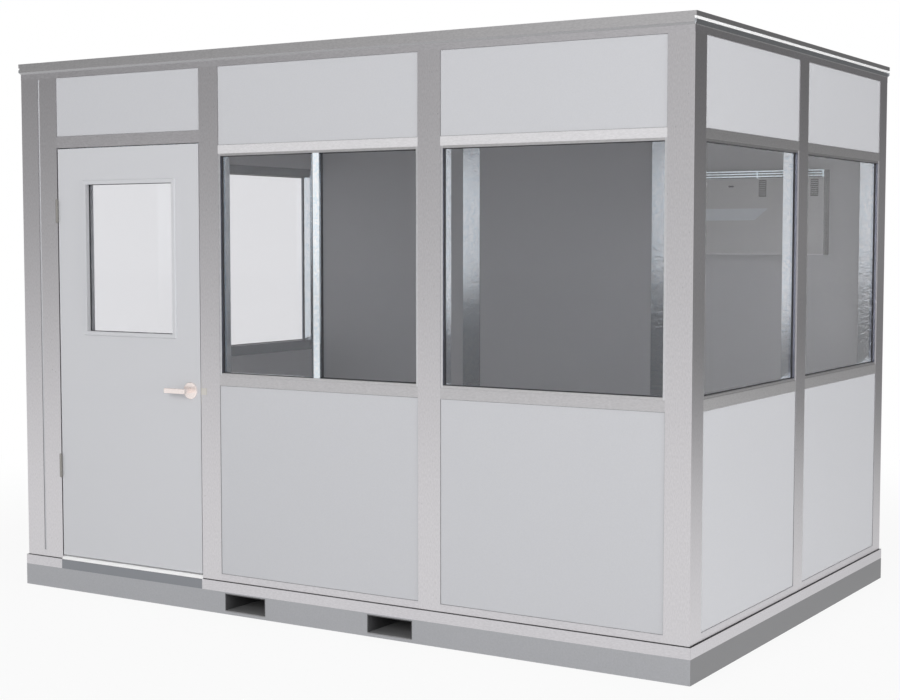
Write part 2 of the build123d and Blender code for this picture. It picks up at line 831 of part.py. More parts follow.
# Lock: roses and chassis on the door, and one pair of levers through them
lock_axis_plane = Plane(origin=(lock_x, door_front, strike_center), x_dir=(1, 0, 0), z_dir=(0, 1, 0))
with BuildPart() as lock_roses:
    with BuildSketch(lock_axis_plane.offset(-rose_thickness)):
        Circle(rose_radius)
    extrude(amount=rose_thickness)
    with BuildSketch(lock_axis_plane.offset(door_thickness)):
        Circle(rose_radius)
    extrude(amount=rose_thickness)
    rose_faces = lock_roses.faces().filter_by(GeomType.PLANE).sort_by(Axis.Y)
    chamfer(rose_faces[0].edges() + rose_faces[-1].edges(), rose_edge_width)
    with BuildSketch(lock_axis_plane):
        Circle(lock_bore_radius - chassis_gap)
    extrude(amount=door_thickness)
    with BuildSketch(lock_axis_plane.offset(-2 * rose_thickness)):
        Circle(lever_neck_radius + lever_clearance)
    extrude(amount=door_thickness + 4 * rose_thickness, mode=Mode.SUBTRACT)
save(lock_roses.part, "lock_roses")

with BuildPart() as lever_handles:
    blade_start = rose_thickness + lever_blade_gap_depth
    neck_reach = blade_start + lever_blade_thickness / 2
    with BuildSketch(lock_axis_plane.offset(-neck_reach)):
        Circle(lever_neck_radius)
    extrude(amount=door_thickness + 2 * neck_reach)
    blade_run = lever_length + lever_blade_height / 2
    blade_center = (lever_blade_height / 2 - lever_length) / 2
    for blade_offset in (-blade_start - lever_blade_thickness, door_thickness + blade_start):
        with BuildSketch(lock_axis_plane.offset(blade_offset)):
            with Locations((blade_center, 0)):
                RectangleRounded(blade_run, lever_blade_height, lever_end_radius)
        extrude(amount=lever_blade_thickness)
    end_faces = lever_handles.faces().filter_by(Axis.Y).sort_by(Axis.Y)
    fillet(end_faces[0].edges() + end_faces[-1].edges(), lever_edge_radius)
save(lever_handles.part, "lever_handles")

# Roof: the ceiling sheet, the fluted deck and the fascia
deck_low = wall_top + fascia_thickness
ceiling_high = deck_low
room_length = length - 2 * wall_thickness
room_depth = depth - 2 * wall_thickness
with BuildPart() as ceiling_sheet:
    with Locations((0, 0, ceiling_high)):
        Box(room_length, room_depth, ceiling_thickness, align=(Align.CENTER, Align.CENTER, Align.MAX))
save(ceiling_sheet.part, "ceiling_sheet")

deck_width = length + 2 * (roof_overhang_width - fascia_thickness - deck_side_gap)
deck_run = depth + 2 * (roof_overhang_width - fascia_thickness - deck_side_gap)
rib_count = int(deck_width // deck_pitch)


def deck_line(lift):
    """The deck's zigzag from left to right, lifted by lift."""
    points = [(-deck_width / 2, lift)]
    first_rib = -(rib_count - 1) * deck_pitch / 2
    for rib in range(rib_count):
        center = first_rib + rib * deck_pitch
        points.append((center - deck_rib_foot_width / 2, lift))
        points.append((center - deck_rib_top_width / 2, lift + deck_height - deck_thickness))
        points.append((center + deck_rib_top_width / 2, lift + deck_height - deck_thickness))
        points.append((center + deck_rib_foot_width / 2, lift))
    points.append((deck_width / 2, lift))
    return points


with BuildPart() as roof_deck:
    deck_plane = Plane(origin=(0, -deck_run / 2, deck_low), x_dir=(1, 0, 0), z_dir=(0, -1, 0))
    with BuildSketch(deck_plane) as deck_section:
        with BuildLine():
            Polyline(*deck_line(0), *reversed(deck_line(deck_thickness)), close=True)
        make_face()
    extrude(deck_section.sketch, amount=-deck_run)
save(roof_deck.part, "roof_deck")

fascia_low = wall_top - fascia_drop_height
fascia_inner = (
    (fascia_thickness, roof_top - fascia_thickness),
    (fascia_thickness, wall_top + fascia_thickness),
    (roof_overhang_width + fascia_foot_width, wall_top + fascia_thickness),
    (roof_overhang_width + fascia_foot_width, wall_top),
    (roof_overhang_width, wall_top),
    (roof_overhang_width, fascia_low),
)
fascia_outer_top = (
    (fascia_top_width, roof_top - fascia_thickness),
    (fascia_top_width, roof_top),
    (0, roof_top),
)
plain_fascia = ring_section(
    *reversed(fascia_inner),
    *fascia_outer_top,
    (0, fascia_low + fascia_bevel_height),
)
drip_top = roof_top - drip_lip_height
drip_foot = drip_top - drip_bevel_height
side_inner = (
    (drip_depth + fascia_thickness, roof_top - fascia_thickness),
    (drip_depth + fascia_thickness, wall_top + fascia_thickness),
    *fascia_inner[2:],
)
drip_fascia = ring_section(
    *reversed(side_inner),
    *fascia_outer_top,
    (0, drip_top),
    (drip_depth, drip_foot),
    (drip_depth, fascia_low),
)

with BuildPart() as roof_fascia:
    for fascia_wall in walls:
        fascia = plain_fascia if fascia_wall in ("front", "back") else drip_fascia
        add(mitred_member(fascia, fascia_wall, roof_overhang_width, mitre_gap))
save(roof_fascia.part, "roof_fascia")

# Air conditioner: its case through the wall, the room cover and the outdoor grille
ac_middle = (ac_low + ac_high) / 2
room_back = half_depth - wall_thickness
cover_front = room_back - ac_room_depth
case_front = cover_front + ac_cover_depth
case_back = half_depth + ac_outdoor_depth
with BuildPart() as ac_case:
    with Locations((ac_bay, (case_front + case_back) / 2, ac_middle)):
        Box(ac_width, case_back - case_front, ac_height)
    with Locations((ac_bay, half_depth + ac_outdoor_depth / 2, ac_middle)):
        with GridLocations(ac_width, ac_vent_pitch, 2, ac_vent_count):
            Box(2 * ac_vent_depth, ac_vent_width, ac_vent_height, mode=Mode.SUBTRACT)
save(ac_case.part, "ac_case")

with BuildPart() as ac_cover:
    with Locations((ac_bay, cover_front, ac_middle)):
        Box(ac_width, ac_cover_depth, ac_height, align=against_face)
    fillet(ac_cover.edges().filter_by(Axis.Z).group_by(Axis.Y)[0], ac_edge_radius)
    outlet_width = (ac_width - 2 * ac_end_wall_width - ac_divider_width) / 2
    outlet_spacing = outlet_width + ac_divider_width
    louvre_pitch = ac_louvre_band_height / ac_louvre_count
    with Locations((ac_bay, cover_front, ac_high - ac_louvre_band_height)):
        with GridLocations(outlet_spacing, 0, 2, 1):
            Box(
                outlet_width,
                ac_outlet_depth,
                ac_louvre_band_height - ac_louvre_thickness,
                align=(Align.CENTER, Align.MIN, Align.MIN),
                mode=Mode.SUBTRACT,
            )
    seam_height = ac_low + ac_panel_height
    with Locations((ac_bay, cover_front, seam_height)):
        Box(
            ac_width,
            ac_seam_width,
            ac_seam_width,
            align=(Align.CENTER, Align.MIN, Align.MIN),
            mode=Mode.SUBTRACT,
        )
    grip_plane = Plane(origin=(ac_bay, cover_front, seam_height), x_dir=(1, 0, 0), z_dir=(0, -1, 0))
    with BuildSketch(grip_plane) as grip_outline:
        with BuildLine():
            Polyline(
                (-ac_grip_left_width, 0),
                (ac_grip_right_width, 0),
                (ac_grip_right_width - ac_grip_slant_width, -ac_grip_height),
                (-ac_grip_left_width, -ac_grip_height),
                close=True,
            )
        make_face()
    extrude(grip_outline.sketch, amount=-ac_grip_depth, mode=Mode.SUBTRACT)
    outlet_left = ac_bay - ac_width / 2 + ac_end_wall_width
    for outlet_start in (outlet_left, outlet_left + outlet_spacing):
        with BuildSketch(Plane.YZ.offset(outlet_start)) as louvre_sections:
            for louvre in range(1, ac_louvre_count):
                front_height = ac_high - ac_louvre_band_height + louvre * louvre_pitch
                back_height = front_height + ac_louvre_rise_height
                with BuildLine():
                    Polyline(
                        (cover_front, front_height - ac_louvre_thickness),
                        (cover_front, front_height),
                        (cover_front + ac_outlet_depth, back_height),
                        (cover_front + ac_outlet_depth, back_height - ac_louvre_thickness),
                        close=True,
                    )
                make_face()
        extrude(louvre_sections.sketch, amount=outlet_width)
save(ac_cover.part, "ac_cover")

with BuildPart() as ac_grille:
    grille_span = ac_height - 2 * ac_grille_margin_width
    grille_pitch = grille_span / ac_grille_rows
    with Locations((ac_bay, case_back, ac_middle)):
        Box(ac_width, ac_grille_thickness, ac_height, align=against_face)
    with BuildSketch(Plane(origin=(ac_bay, case_back, ac_middle), x_dir=(1, 0, 0), z_dir=(0, -1, 0))):
        with GridLocations(0, grille_pitch, 1, ac_grille_rows):
            Rectangle(ac_width - 2 * ac_grille_margin_width, ac_grille_slot_height)
    extrude(amount=-ac_grille_thickness, mode=Mode.SUBTRACT)
save(ac_grille.part, "ac_grille")
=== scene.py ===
"""The modular office's finishes, small fittings, light and camera."""

from math import cos, pi, radians, sin

import bmesh
import bpy
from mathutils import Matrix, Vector


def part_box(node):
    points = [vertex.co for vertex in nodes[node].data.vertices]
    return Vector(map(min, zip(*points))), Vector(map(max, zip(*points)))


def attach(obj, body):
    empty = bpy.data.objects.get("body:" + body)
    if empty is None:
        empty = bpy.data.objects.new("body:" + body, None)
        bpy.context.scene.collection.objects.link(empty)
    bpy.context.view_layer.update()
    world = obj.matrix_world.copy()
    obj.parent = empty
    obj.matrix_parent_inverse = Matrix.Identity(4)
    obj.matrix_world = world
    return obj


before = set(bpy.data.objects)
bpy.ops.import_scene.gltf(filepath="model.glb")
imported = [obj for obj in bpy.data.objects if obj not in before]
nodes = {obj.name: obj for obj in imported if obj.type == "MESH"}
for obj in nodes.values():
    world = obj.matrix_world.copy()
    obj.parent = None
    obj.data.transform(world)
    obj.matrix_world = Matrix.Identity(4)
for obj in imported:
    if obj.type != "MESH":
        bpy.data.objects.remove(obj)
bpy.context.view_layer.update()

# The photograph's view
camera_place = (4.387, -7.0972, 1.7541)
camera_turn = (radians(86.167), 0.0, radians(31.986))
camera_lens = 65.26
camera_sensor = 36.0

# The studio: what lights the office, and what metal mirrors
fill_strength = 0.55
horizon = -0.02
sky_start = 0.10
horizon_value = 0.45
sky_value = 0.20
sky_right_value = 0.45
rear_value = 0.48
right_value = 1.6
mirror_rear_value = 0.25
right_turn = (-0.74, -0.36)
sky_rear_turn = (-0.2, 0.4)
rear_turn = (-0.5, 0.7)
mirror_rear_turn = (-0.5, 0.5)

# The studio floor
floor_half_width = 60.0
floor_colour = 0.80
floor_roughness = 0.9
floor_white_near = 0.90
floor_white_reach = (2.5, 6.0)
floor_rear_value = 0.28
floor_rear_reach = (-3.0, 12.0)
floor_far_value = 0.78
floor_far_reach = (5.0, 25.0)

# The office's own sizes, in metres
half_length = 1.8288
half_depth = 1.2192
module = 1.2192
post = 0.1143
skin = 0.003
wall_thickness = 0.0762
frame_sight = 0.011
glass_setback = 0.017
slider_setback = 0.033
glass_thickness = 0.006
stile_width = 0.035
room_inset = 0.025
reveal_inset = 0.0035
threshold_top = 0.1664
bottom_track_top = 0.1874
sill_rail_foot = 1.0784
window_foot = 1.1249
head_rail_foot = 2.1564
head_rail_top = 2.1954
sill_to_head = 1.5
header_foot = 2.2114
header_top = 2.2678
head_track_foot = 2.5578
fascia_foot = 2.5854
fascia_bevel = 0.010
fascia_foot_line = 0.0035
lip_foot = 2.6084
lip_top = 2.6174
hinge_post_left = -1.7014
door_left_edge = -1.5871
door_right_edge = -0.6668
door_stop_front = -1.1678
door_glass_faces = (-1.1980, -1.1920)
hinge_heights = (0.6274, 1.9004)
strike_height = 1.0454
deck_pitch = 0.1524
deck_thickness = 0.0016
pocket_floor = (0.0130, 0.0185)
face_depth = 0.002
seal_clearance = 0.001
ac_room_side = half_depth - wall_thickness

# How far a patch of painted light or shade reaches past the face it lies on
slack = 0.001
fine_slack = 0.0001


# Node helpers
def feed(tree, value, socket):
    """Link another node's result to a socket, or set the socket to a plain value."""
    if isinstance(value, bpy.types.NodeSocket):
        tree.links.new(value, socket)
    else:
        socket.default_value = value


def add_node(tree, kind, *feeds, **settings):
    """A node of one kind, with its settings made and its inputs fed by name or in order."""
    node = tree.nodes.new(kind)
    for name, value in settings.items():
        if hasattr(node, name):
            setattr(node, name, value)
        else:
            feed(tree, value, node.inputs[name.replace("_", " ")])
    for value, socket in zip(feeds, [socket for socket in node.inputs if socket.enabled]):
        feed(tree, value, socket)
    return node


def result_of(tree, kind, *feeds, **settings):
    """The first result of a new node."""
    node = add_node(tree, kind, *feeds, **settings)
    return next(socket for socket in node.outputs if socket.enabled)


def maths(tree, operation, *values):
    """The result of one sum on plain values and other nodes' results."""
    return result_of(tree, "ShaderNodeMath", *values, operation=operation)


def vector_maths(tree, operation, *values):
    """The result of one sum on vectors."""
    return result_of(tree, "ShaderNodeVectorMath", *values, operation=operation)


def smooth_ramp(tree, value, limits, low_value, high_value):
    """A value that eases from one level to another between two limits."""
    return result_of(
        tree, "ShaderNodeMapRange", value, *limits, low_value, high_value,
        interpolation_type="SMOOTHSTEP",
    )


def mix_values(tree, mask, outside, inside, kind="FLOAT"):
    """One value or colour outside a mask, and another inside it."""
    return result_of(tree, "ShaderNodeMix", mask, outside, inside, data_type=kind)


def mix_shaders(tree, share, first, second):
    """The first shader where the share is nought, and the second where it is one."""
    return result_of(tree, "ShaderNodeMixShader", share, first, second)


def texture_place(tree, source="Object"):
    """Where a point lies: in the object's own coordinates, or as a look direction."""
    return add_node(tree, "ShaderNodeTexCoord").outputs[source]


def place_along(tree, axis, source="Object"):
    """Where a point lies along one axis."""
    return add_node(tree, "ShaderNodeSeparateXYZ", texture_place(tree, source)).outputs[axis]


def new_material(name):
    """A material with a Principled shader and the nodes to build on."""
    material = bpy.data.materials.new(name)
    material.use_nodes = True
    tree = material.node_tree
    return material, tree, tree.nodes["Principled BSDF"]


def new_group(name, inputs, outputs):
    """A shader node group with named inputs and outputs."""
    group = bpy.data.node_groups.new(name, "ShaderNodeTree")
    for socket_name, kind, value in inputs:
        socket = group.interface.new_socket(socket_name, in_out="INPUT", socket_type=kind)
        socket.default_value = value
    for socket_name, kind in outputs:
        group.interface.new_socket(socket_name, in_out="OUTPUT", socket_type=kind)
    return group, add_node(group, "NodeGroupInput").outputs, add_node(group, "NodeGroupOutput")


FLOAT, COLOUR, VECTOR = "NodeSocketFloat", "NodeSocketColor", "NodeSocketVector"

# Limits that reach past the office along any axis
everywhere = (-9.0, 9.0)


# Node groups that the finishes share
def surface_group():
    """Fine speckle and broad unevenness of one finish, as a colour, roughness and height."""
    inputs = (
        ("Colour", COLOUR, (0.5, 0.5, 0.5, 1.0)),
        ("Roughness", FLOAT, 0.5),
        ("Stretch", VECTOR, (1.0, 1.0, 1.0)),
        ("Grain Scale", FLOAT, 400.0),
        ("Grain Amount", FLOAT, 0.05),
        ("Broad Amount", FLOAT, 0.04),
    )
    outputs = (("Colour", COLOUR), ("Roughness", FLOAT), ("Height", FLOAT))
    broad_scale = 1.5
    noise_middle = 0.5
    group, given, result = new_group("uneven finish", inputs, outputs)
    place = texture_place(group)
    stretched = vector_maths(group, "MULTIPLY", place, given["Stretch"])
    grain = result_of(
        group, "ShaderNodeTexNoise", Vector=stretched, Scale=given["Grain Scale"], Detail=3.0,
    )
    broad = result_of(group, "ShaderNodeTexNoise", Vector=place, Scale=broad_scale, Detail=4.0)
    factor = 1.0
    for noise, amount in ((grain, "Grain Amount"), (broad, "Broad Amount")):
        centred = maths(group, "SUBTRACT", noise, noise_middle)
        factor = maths(group, "ADD", factor, maths(group, "MULTIPLY", centred, given[amount]))
    feed(group, vector_maths(group, "SCALE", given["Colour"], factor), result.inputs["Colour"])
    feed(group, maths(group, "MULTIPLY", given["Roughness"], factor), result.inputs["Roughness"])
    feed(group, grain, result.inputs["Height"])
    return group


def region_group():
    """One where a point lies in a box of the object's own coordinates, otherwise nought."""
    low, high = everywhere
    inputs = (("Low", VECTOR, (low, low, low)), ("High", VECTOR, (high, high, high)))
    group, given, result = new_group("region", inputs, (("Inside", FLOAT),))
    place = texture_place(group)
    inside = 1.0
    for larger, smaller in ((place, given["Low"]), (given["High"], place)):
        room = vector_maths(group, "SUBTRACT", larger, smaller)
        for part in add_node(group, "ShaderNodeSeparateXYZ", room).outputs:
            above = maths(group, "GREATER_THAN", part, 0.0)
            inside = maths(group, "MULTIPLY", inside, above)
    feed(group, inside, result.inputs["Inside"])
    return group


def mottle_group():
    """Bright metal with a rolled, mottled face, as a colour and a height."""
    inputs = (("Colour", COLOUR, (0.8, 0.8, 0.8, 1.0)), ("Mottle Scale", FLOAT, 75.0))
    outputs = (("Colour", COLOUR), ("Height", FLOAT))
    mottle_limits = (0.35, 0.65)
    cool_tint = (0.72, 0.86, 0.95, 1.0)
    cool_amount = 0.5
    group, given, result = new_group("mottled metal", inputs, outputs)
    mottle = result_of(
        group, "ShaderNodeTexNoise", Vector=texture_place(group), Scale=given["Mottle Scale"],
        Detail=3.0, Distortion=1.2,
    )
    spread = smooth_ramp(group, mottle, mottle_limits, 0.0, 1.0)
    cool = maths(group, "MULTIPLY", spread, cool_amount)
    tinted = result_of(
        group, "ShaderNodeMix", cool, given["Colour"], cool_tint,
        data_type="RGBA", blend_type="MULTIPLY",
    )
    feed(group, tinted, result.inputs["Colour"])
    feed(group, mottle, result.inputs["Height"])
    return group


uneven = surface_group()
region = region_group()
mottled = mottle_group()


# Kinds of finish
def region_box(x=everywhere, y=everywhere, z=everywhere):
    """The low and high corners of a box from its limits along each axis."""
    return tuple(zip(x, y, z))


room_box = region_box(
    (room_inset - half_length, half_length - room_inset),
    (room_inset - half_depth, half_depth - room_inset),
)


def inside_box(tree, low, high):
    """A mask that is one inside a box."""
    return result_of(tree, "ShaderNodeGroup", node_tree=region, Low=low, High=high)


def patched_look(tree, colour, roughness, metallic, patches, values):
    """The uneven look of a finish, and its colour and metallic share with the patches of painted
    light and shade.
    """
    def uneven_look(tone):
        return add_node(
            tree, "ShaderNodeGroup", node_tree=uneven, Colour=(*tone, 1.0), Roughness=roughness,
            **values,
        ).outputs

    look = uneven_look(colour)
    shade = look["Colour"]
    for low, high, patch_colour, *patch_metal in patches:
        mask = inside_box(tree, low, high)
        shade = mix_values(tree, mask, shade, uneven_look(patch_colour)["Colour"], "RGBA")
        if patch_metal:
            metallic = mix_values(tree, mask, metallic, *patch_metal)
    return look, shade, metallic


def mottled_look(tree, colour, **values):
    """The mottled look of bright metal."""
    return add_node(
        tree, "ShaderNodeGroup", node_tree=mottled, Colour=(*colour, 1.0), **values,
    ).outputs


def finish(name, colour, roughness, metallic=0.0, bump=0.0, patches=(), **values):
    """A finish made from the uneven group.

    A patch is a box that carries another colour, painted light or shade, and may carry another
    metallic share.
    """
    bump_distance = 0.0002
    material, tree, shader = new_material(name)
    look, shade, metal = patched_look(tree, colour, roughness, metallic, patches, values)
    feed(tree, shade, shader.inputs["Base Color"])
    feed(tree, look["Roughness"], shader.inputs["Roughness"])
    feed(tree, metal, shader.inputs["Metallic"])
    if bump:
        normal = result_of(
            tree, "ShaderNodeBump", Height=look["Height"], Strength=bump, Distance=bump_distance,
        )
        feed(tree, normal, shader.inputs["Normal"])
    return material


def wall_metal(
    name, colour, roughness, inner_colour=(0.92, 0.94, 0.96), leans=(), patches=(), **values,
):
    """Brushed aluminium outside, and bright mottled aluminium behind the glass line; an inner
    colour darker than the outer one is painted shade.

    A lean is a box in which the face leans outward as it rises, by a slope.
    """
    inner_metal = 0.86
    inner_mottle_scale = 60.0
    grain_height = 0.10
    bump_distance = 0.0014
    material, tree, shader = new_material(name)
    outer, shade, metal = patched_look(tree, colour, roughness, 1.0, patches, values)
    inner = mottled_look(tree, inner_colour, Mottle_Scale=inner_mottle_scale)
    mask = inside_box(tree, *room_box)
    shade = mix_values(tree, mask, shade, inner["Colour"], "RGBA")
    feed(tree, shade, shader.inputs["Base Color"])
    rough = mix_values(tree, mask, outer["Roughness"], 0.0)
    feed(tree, rough, shader.inputs["Roughness"])
    feed(tree, mix_values(tree, mask, metal, inner_metal), shader.inputs["Metallic"])
    faint = maths(tree, "MULTIPLY", outer["Height"], grain_height)
    relief = mix_values(tree, mask, faint, inner["Height"])
    normal = result_of(
        tree, "ShaderNodeBump", Height=relief, Strength=1.0, Distance=bump_distance,
    )
    level = 0.0
    for low, high, slope in leans:
        rise = maths(tree, "MULTIPLY", place_along(tree, "Z"), slope)
        level = mix_values(tree, inside_box(tree, low, high), level, rise)
    if leans:
        normal = result_of(
            tree, "ShaderNodeBump", Height=level, Normal=normal, Strength=1.0, Distance=1.0,
        )
    feed(tree, normal, shader.inputs["Normal"])
    return material


def glass_finish(name, tint):
    """Clear window glass that also lets light into the room."""
    material, tree, shader = new_material(name)
    shader.inputs["Base Color"].default_value = (*tint, 1.0)
    shader.inputs["Roughness"].default_value = 0.0
    shader.inputs["Transmission Weight"].default_value = 1.0
    shader.inputs["IOR"].default_value = 1.45
    return material


def mirror_metal(name, colour, inner_colour):
    """Bright mottled aluminium, in another colour behind the glass line; a darker colour there is
    painted shade.
    """
    bump_strength, bump_distance = 0.5, 0.0006
    material, tree, shader = new_material(name)
    look = mottled_look(tree, colour)
    inner = mottled_look(tree, inner_colour)
    mask = inside_box(tree, *room_box)
    shade = mix_values(tree, mask, look["Colour"], inner["Colour"], "RGBA")
    feed(tree, shade, shader.inputs["Base Color"])
    normal = result_of(
        tree, "ShaderNodeBump", Height=look["Height"],
        Strength=bump_strength, Distance=bump_distance,
    )
    feed(tree, normal, shader.inputs["Normal"])
    shader.inputs["Roughness"].default_value = 0.0
    shader.inputs["Metallic"].default_value = 1.0
    return material


# Aluminium
inner_lean = (*room_box, 0.07)
grain_up, grain_along = (1.0, 1.0, 0.35), (0.35, 0.35, 1.0)
brushed = {"Grain_Scale": 210.0, "Grain_Amount": 0.36, "Broad_Amount": 0.05}
brushed_faint = {"Grain_Scale": 210.0, "Grain_Amount": 0.30, "Broad_Amount": 0.04}
upright_aluminium = wall_metal(
    "brushed aluminium uprights", (0.672, 0.657, 0.677), 0.30, leans=(inner_lean,),
    Stretch=grain_up, **brushed,
)
level_aluminium = wall_metal(
    "brushed aluminium rails", (0.672, 0.657, 0.680), 0.34, Stretch=grain_along, **brushed,
)
# The fascia's patches are painted light and shade: the dark front bevel and the darker sides are
# painted shade, and the white line at the sides' foot and the white lip are painted highlights.
front_bevel_shade = (fascia_foot - fine_slack, fascia_foot + fascia_bevel + fine_slack)
fascia_painted_light = [
    (*region_box(y=(everywhere[0], -half_depth), z=front_bevel_shade), (0.40, 0.40, 0.41)),
]
side_foot_highlight = (fascia_foot - fine_slack, fascia_foot + fascia_foot_line)
for side in ((everywhere[0], -half_length), (half_length, everywhere[1])):
    fascia_painted_light += [
        (*region_box(x=side, z=(fascia_foot, lip_foot)), (0.55, 0.57, 0.60)),
        (*region_box(x=side, z=side_foot_highlight), (0.95, 0.95, 0.96)),
        (*region_box(x=side, z=(lip_foot, lip_top)), (0.98, 0.98, 0.98), 0.05),
    ]
fascia_aluminium_painted_light = finish(
    "brushed aluminium fascia", (0.66, 0.65, 0.66), 0.34, 1.0, patches=fascia_painted_light,
    Stretch=grain_along, **brushed,
)
# The crossbars' darker colour on the room side is painted shade.
crossbar_aluminium_shaded = wall_metal(
    "brushed aluminium crossbars", (0.64, 0.63, 0.64), 0.34, inner_colour=(0.50, 0.50, 0.52),
    Stretch=grain_along, **brushed_faint,
)
# The dark blue grey on the window frames' reveals is painted shade.
frame_reveal_shade = region_box(
    (reveal_inset - half_length, half_length - reveal_inset),
    (reveal_inset - half_depth, half_depth - reveal_inset),
)
window_upright_aluminium_shaded = wall_metal(
    "brushed aluminium window uprights", (0.72, 0.72, 0.74), 0.34, leans=(inner_lean,),
    patches=((*frame_reveal_shade, (0.30, 0.31, 0.38)),), Stretch=grain_up, **brushed,
)
front_face = (everywhere[0], face_depth - half_depth)
head_rail_span = (head_rail_foot - slack, head_rail_top + slack)
# The window rails are painted light and shade: brighter than the other aluminium as a painted
# highlight on the head rails, and darker on the sill rails' fronts and on the room side as painted
# shade.
window_rail_painted_light = wall_metal(
    "brushed aluminium window rails", (0.84, 0.83, 0.84), 0.36, inner_colour=(0.55, 0.55, 0.57),
    patches=(
        (*region_box(y=front_face, z=(everywhere[0], sill_to_head)), (0.63, 0.62, 0.635)),
        (*region_box(y=front_face, z=(sill_to_head, everywhere[1])), (0.82, 0.81, 0.83)),
    ),
    leans=((*region_box(y=front_face, z=head_rail_span), 0.16),),
    Stretch=grain_along, **brushed_faint,
)
# The frames' darker colour on the room side is painted shade.
bright_aluminium_shaded = mirror_metal(
    "bright aluminium window frames", (0.88, 0.90, 0.92), (0.50, 0.50, 0.53),
)
louvre_chrome = mirror_metal("bright louvre trim", (0.84, 0.92, 0.95), (0.84, 0.92, 0.95))
# The threshold is painted near white with no metal, as a painted reflection of the white
# surroundings.
threshold_painted_white = finish(
    "threshold painted white as a reflection", (0.98, 0.98, 0.98), 0.35,
    Stretch=grain_along, Grain_Scale=300.0, Grain_Amount=0.10, Broad_Amount=0.04,
)

# Panels, paint, rubber and steel
panel_vinyl = finish(
    "light grey panel vinyl", (0.562, 0.567, 0.592), 0.50, bump=0.2,
    Grain_Scale=170.0, Grain_Amount=0.09, Broad_Amount=0.02,
)
door_enamel = finish(
    "light grey door enamel", (0.60, 0.605, 0.63), 0.42, bump=0.08,
    Grain_Scale=500.0, Grain_Amount=0.05, Broad_Amount=0.02,
)
metallic_coat = {"Grain_Scale": 140.0, "Grain_Amount": 0.26, "Broad_Amount": 0.06}
base_enamel = finish(
    "grey metallic base enamel", (0.42, 0.425, 0.445), 0.42, 0.6, bump=0.1, **metallic_coat,
)
# The end rails are the base enamel painted darker, as painted shade on the office's sides.
end_rail_painted_shade = finish(
    "grey metallic end rail enamel", (0.235, 0.235, 0.242), 0.42, 0.6, bump=0.1, **metallic_coat,
)
# The pockets' insides are painted near black as painted shade, and their floors a lighter grey as
# painted light.
pocket_painted_shade = finish(
    "dark pocket lining", (0.07, 0.07, 0.073), 0.6,
    patches=((*region_box(z=pocket_floor), (0.26, 0.26, 0.265)),),
    Grain_Scale=200.0, Grain_Amount=0.2, Broad_Amount=0.1,
)
sill_enamel = finish(
    "dark sill enamel", (0.23, 0.24, 0.26), 0.4, Grain_Scale=260.0, Grain_Amount=0.10,
)
# Black rubber; under the walls the gasket also stands in for the contact shadow line between wall
# and base, as painted shade.
gasket_rubber_and_shade = finish("black gasket rubber and shade line", (0.02, 0.02, 0.02), 0.7, Grain_Amount=0.1)
glazing_rubber = finish("dark glazing rubber", (0.05, 0.05, 0.055), 0.55, Grain_Amount=0.1)
# Grey edge strips: a trim whose dark grey also stands in for the shade line at the panels'
# recessed edges, as painted shade.
panel_edge_vinyl_and_shade = finish("grey panel edge strip and shade line", (0.24, 0.24, 0.25), 0.5, Grain_Amount=0.08)
floor_vinyl = finish(
    "grey floor sheet", (0.16, 0.16, 0.16), 0.5,
    Grain_Scale=250.0, Grain_Amount=0.25, Broad_Amount=0.05,
)
floor_boards = finish(
    "floor boards", (0.36, 0.25, 0.14), 0.7, Grain_Amount=0.3, Stretch=(0.1, 1.0, 1.0),
)
ceiling_board = finish(
    "ceiling board", (0.42, 0.42, 0.43), 0.7, Grain_Scale=300.0, Grain_Amount=0.06,
)
roof_enamel = finish(
    "roof deck enamel", (0.60, 0.60, 0.61), 0.4,
    Grain_Scale=240.0, Grain_Amount=0.06, Broad_Amount=0.06,
)
hinge_steel = finish("satin hinge steel", (0.33, 0.32, 0.30), 0.42, 0.7, Grain_Amount=0.08)
strike_steel = finish("satin strike steel", (0.70, 0.675, 0.635), 0.34, 0.7, Grain_Amount=0.08)
screw_steel = finish(
    "zinc screw steel", (0.55, 0.55, 0.56), 0.35, 0.9, Grain_Scale=900.0, Grain_Amount=0.1,
)
champagne_metal = finish(
    "champagne lever metal", (0.98, 0.885, 0.85), 0.24, 0.75, Grain_Amount=0.04,
)
weld_steel = finish(
    "painted weld steel", (0.36, 0.36, 0.37), 0.5, 0.3, bump=0.3,
    Grain_Scale=400.0, Grain_Amount=0.15,
)
clear_glass = glass_finish("clear glass", (0.875, 0.875, 0.89))

# The air conditioner: painted highlights on its louvre band, grip and foot, and painted shade in
# the outlet behind the band and on its right side
ac_low, ac_high = map(Vector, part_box("ac_cover"))
ac_middle_x = (ac_low.x + ac_high.x) / 2
ac_front = ac_low.y
ac_top = ac_high.z
ac_rim = 0.010
ac_band_height = 0.040
ac_between_rims = (ac_low.x + ac_rim, ac_high.x - ac_rim)
ac_across = (ac_low.x, ac_high.x)
ac_right_side = (ac_high.x - 0.003, ac_high.x + slack)
ac_band = (ac_top - ac_band_height, ac_top + slack)
ac_grip = (ac_top - 0.262, ac_top - 0.190)
ac_foot = (ac_low.z - slack, ac_low.z + 0.0045)


def cover_painted_patch(x, z, colour, near, far):
    """A patch of painted light or shade on the cover, from near to far behind its front."""
    return (*region_box(x, (ac_front + near, ac_front + far), z), colour)


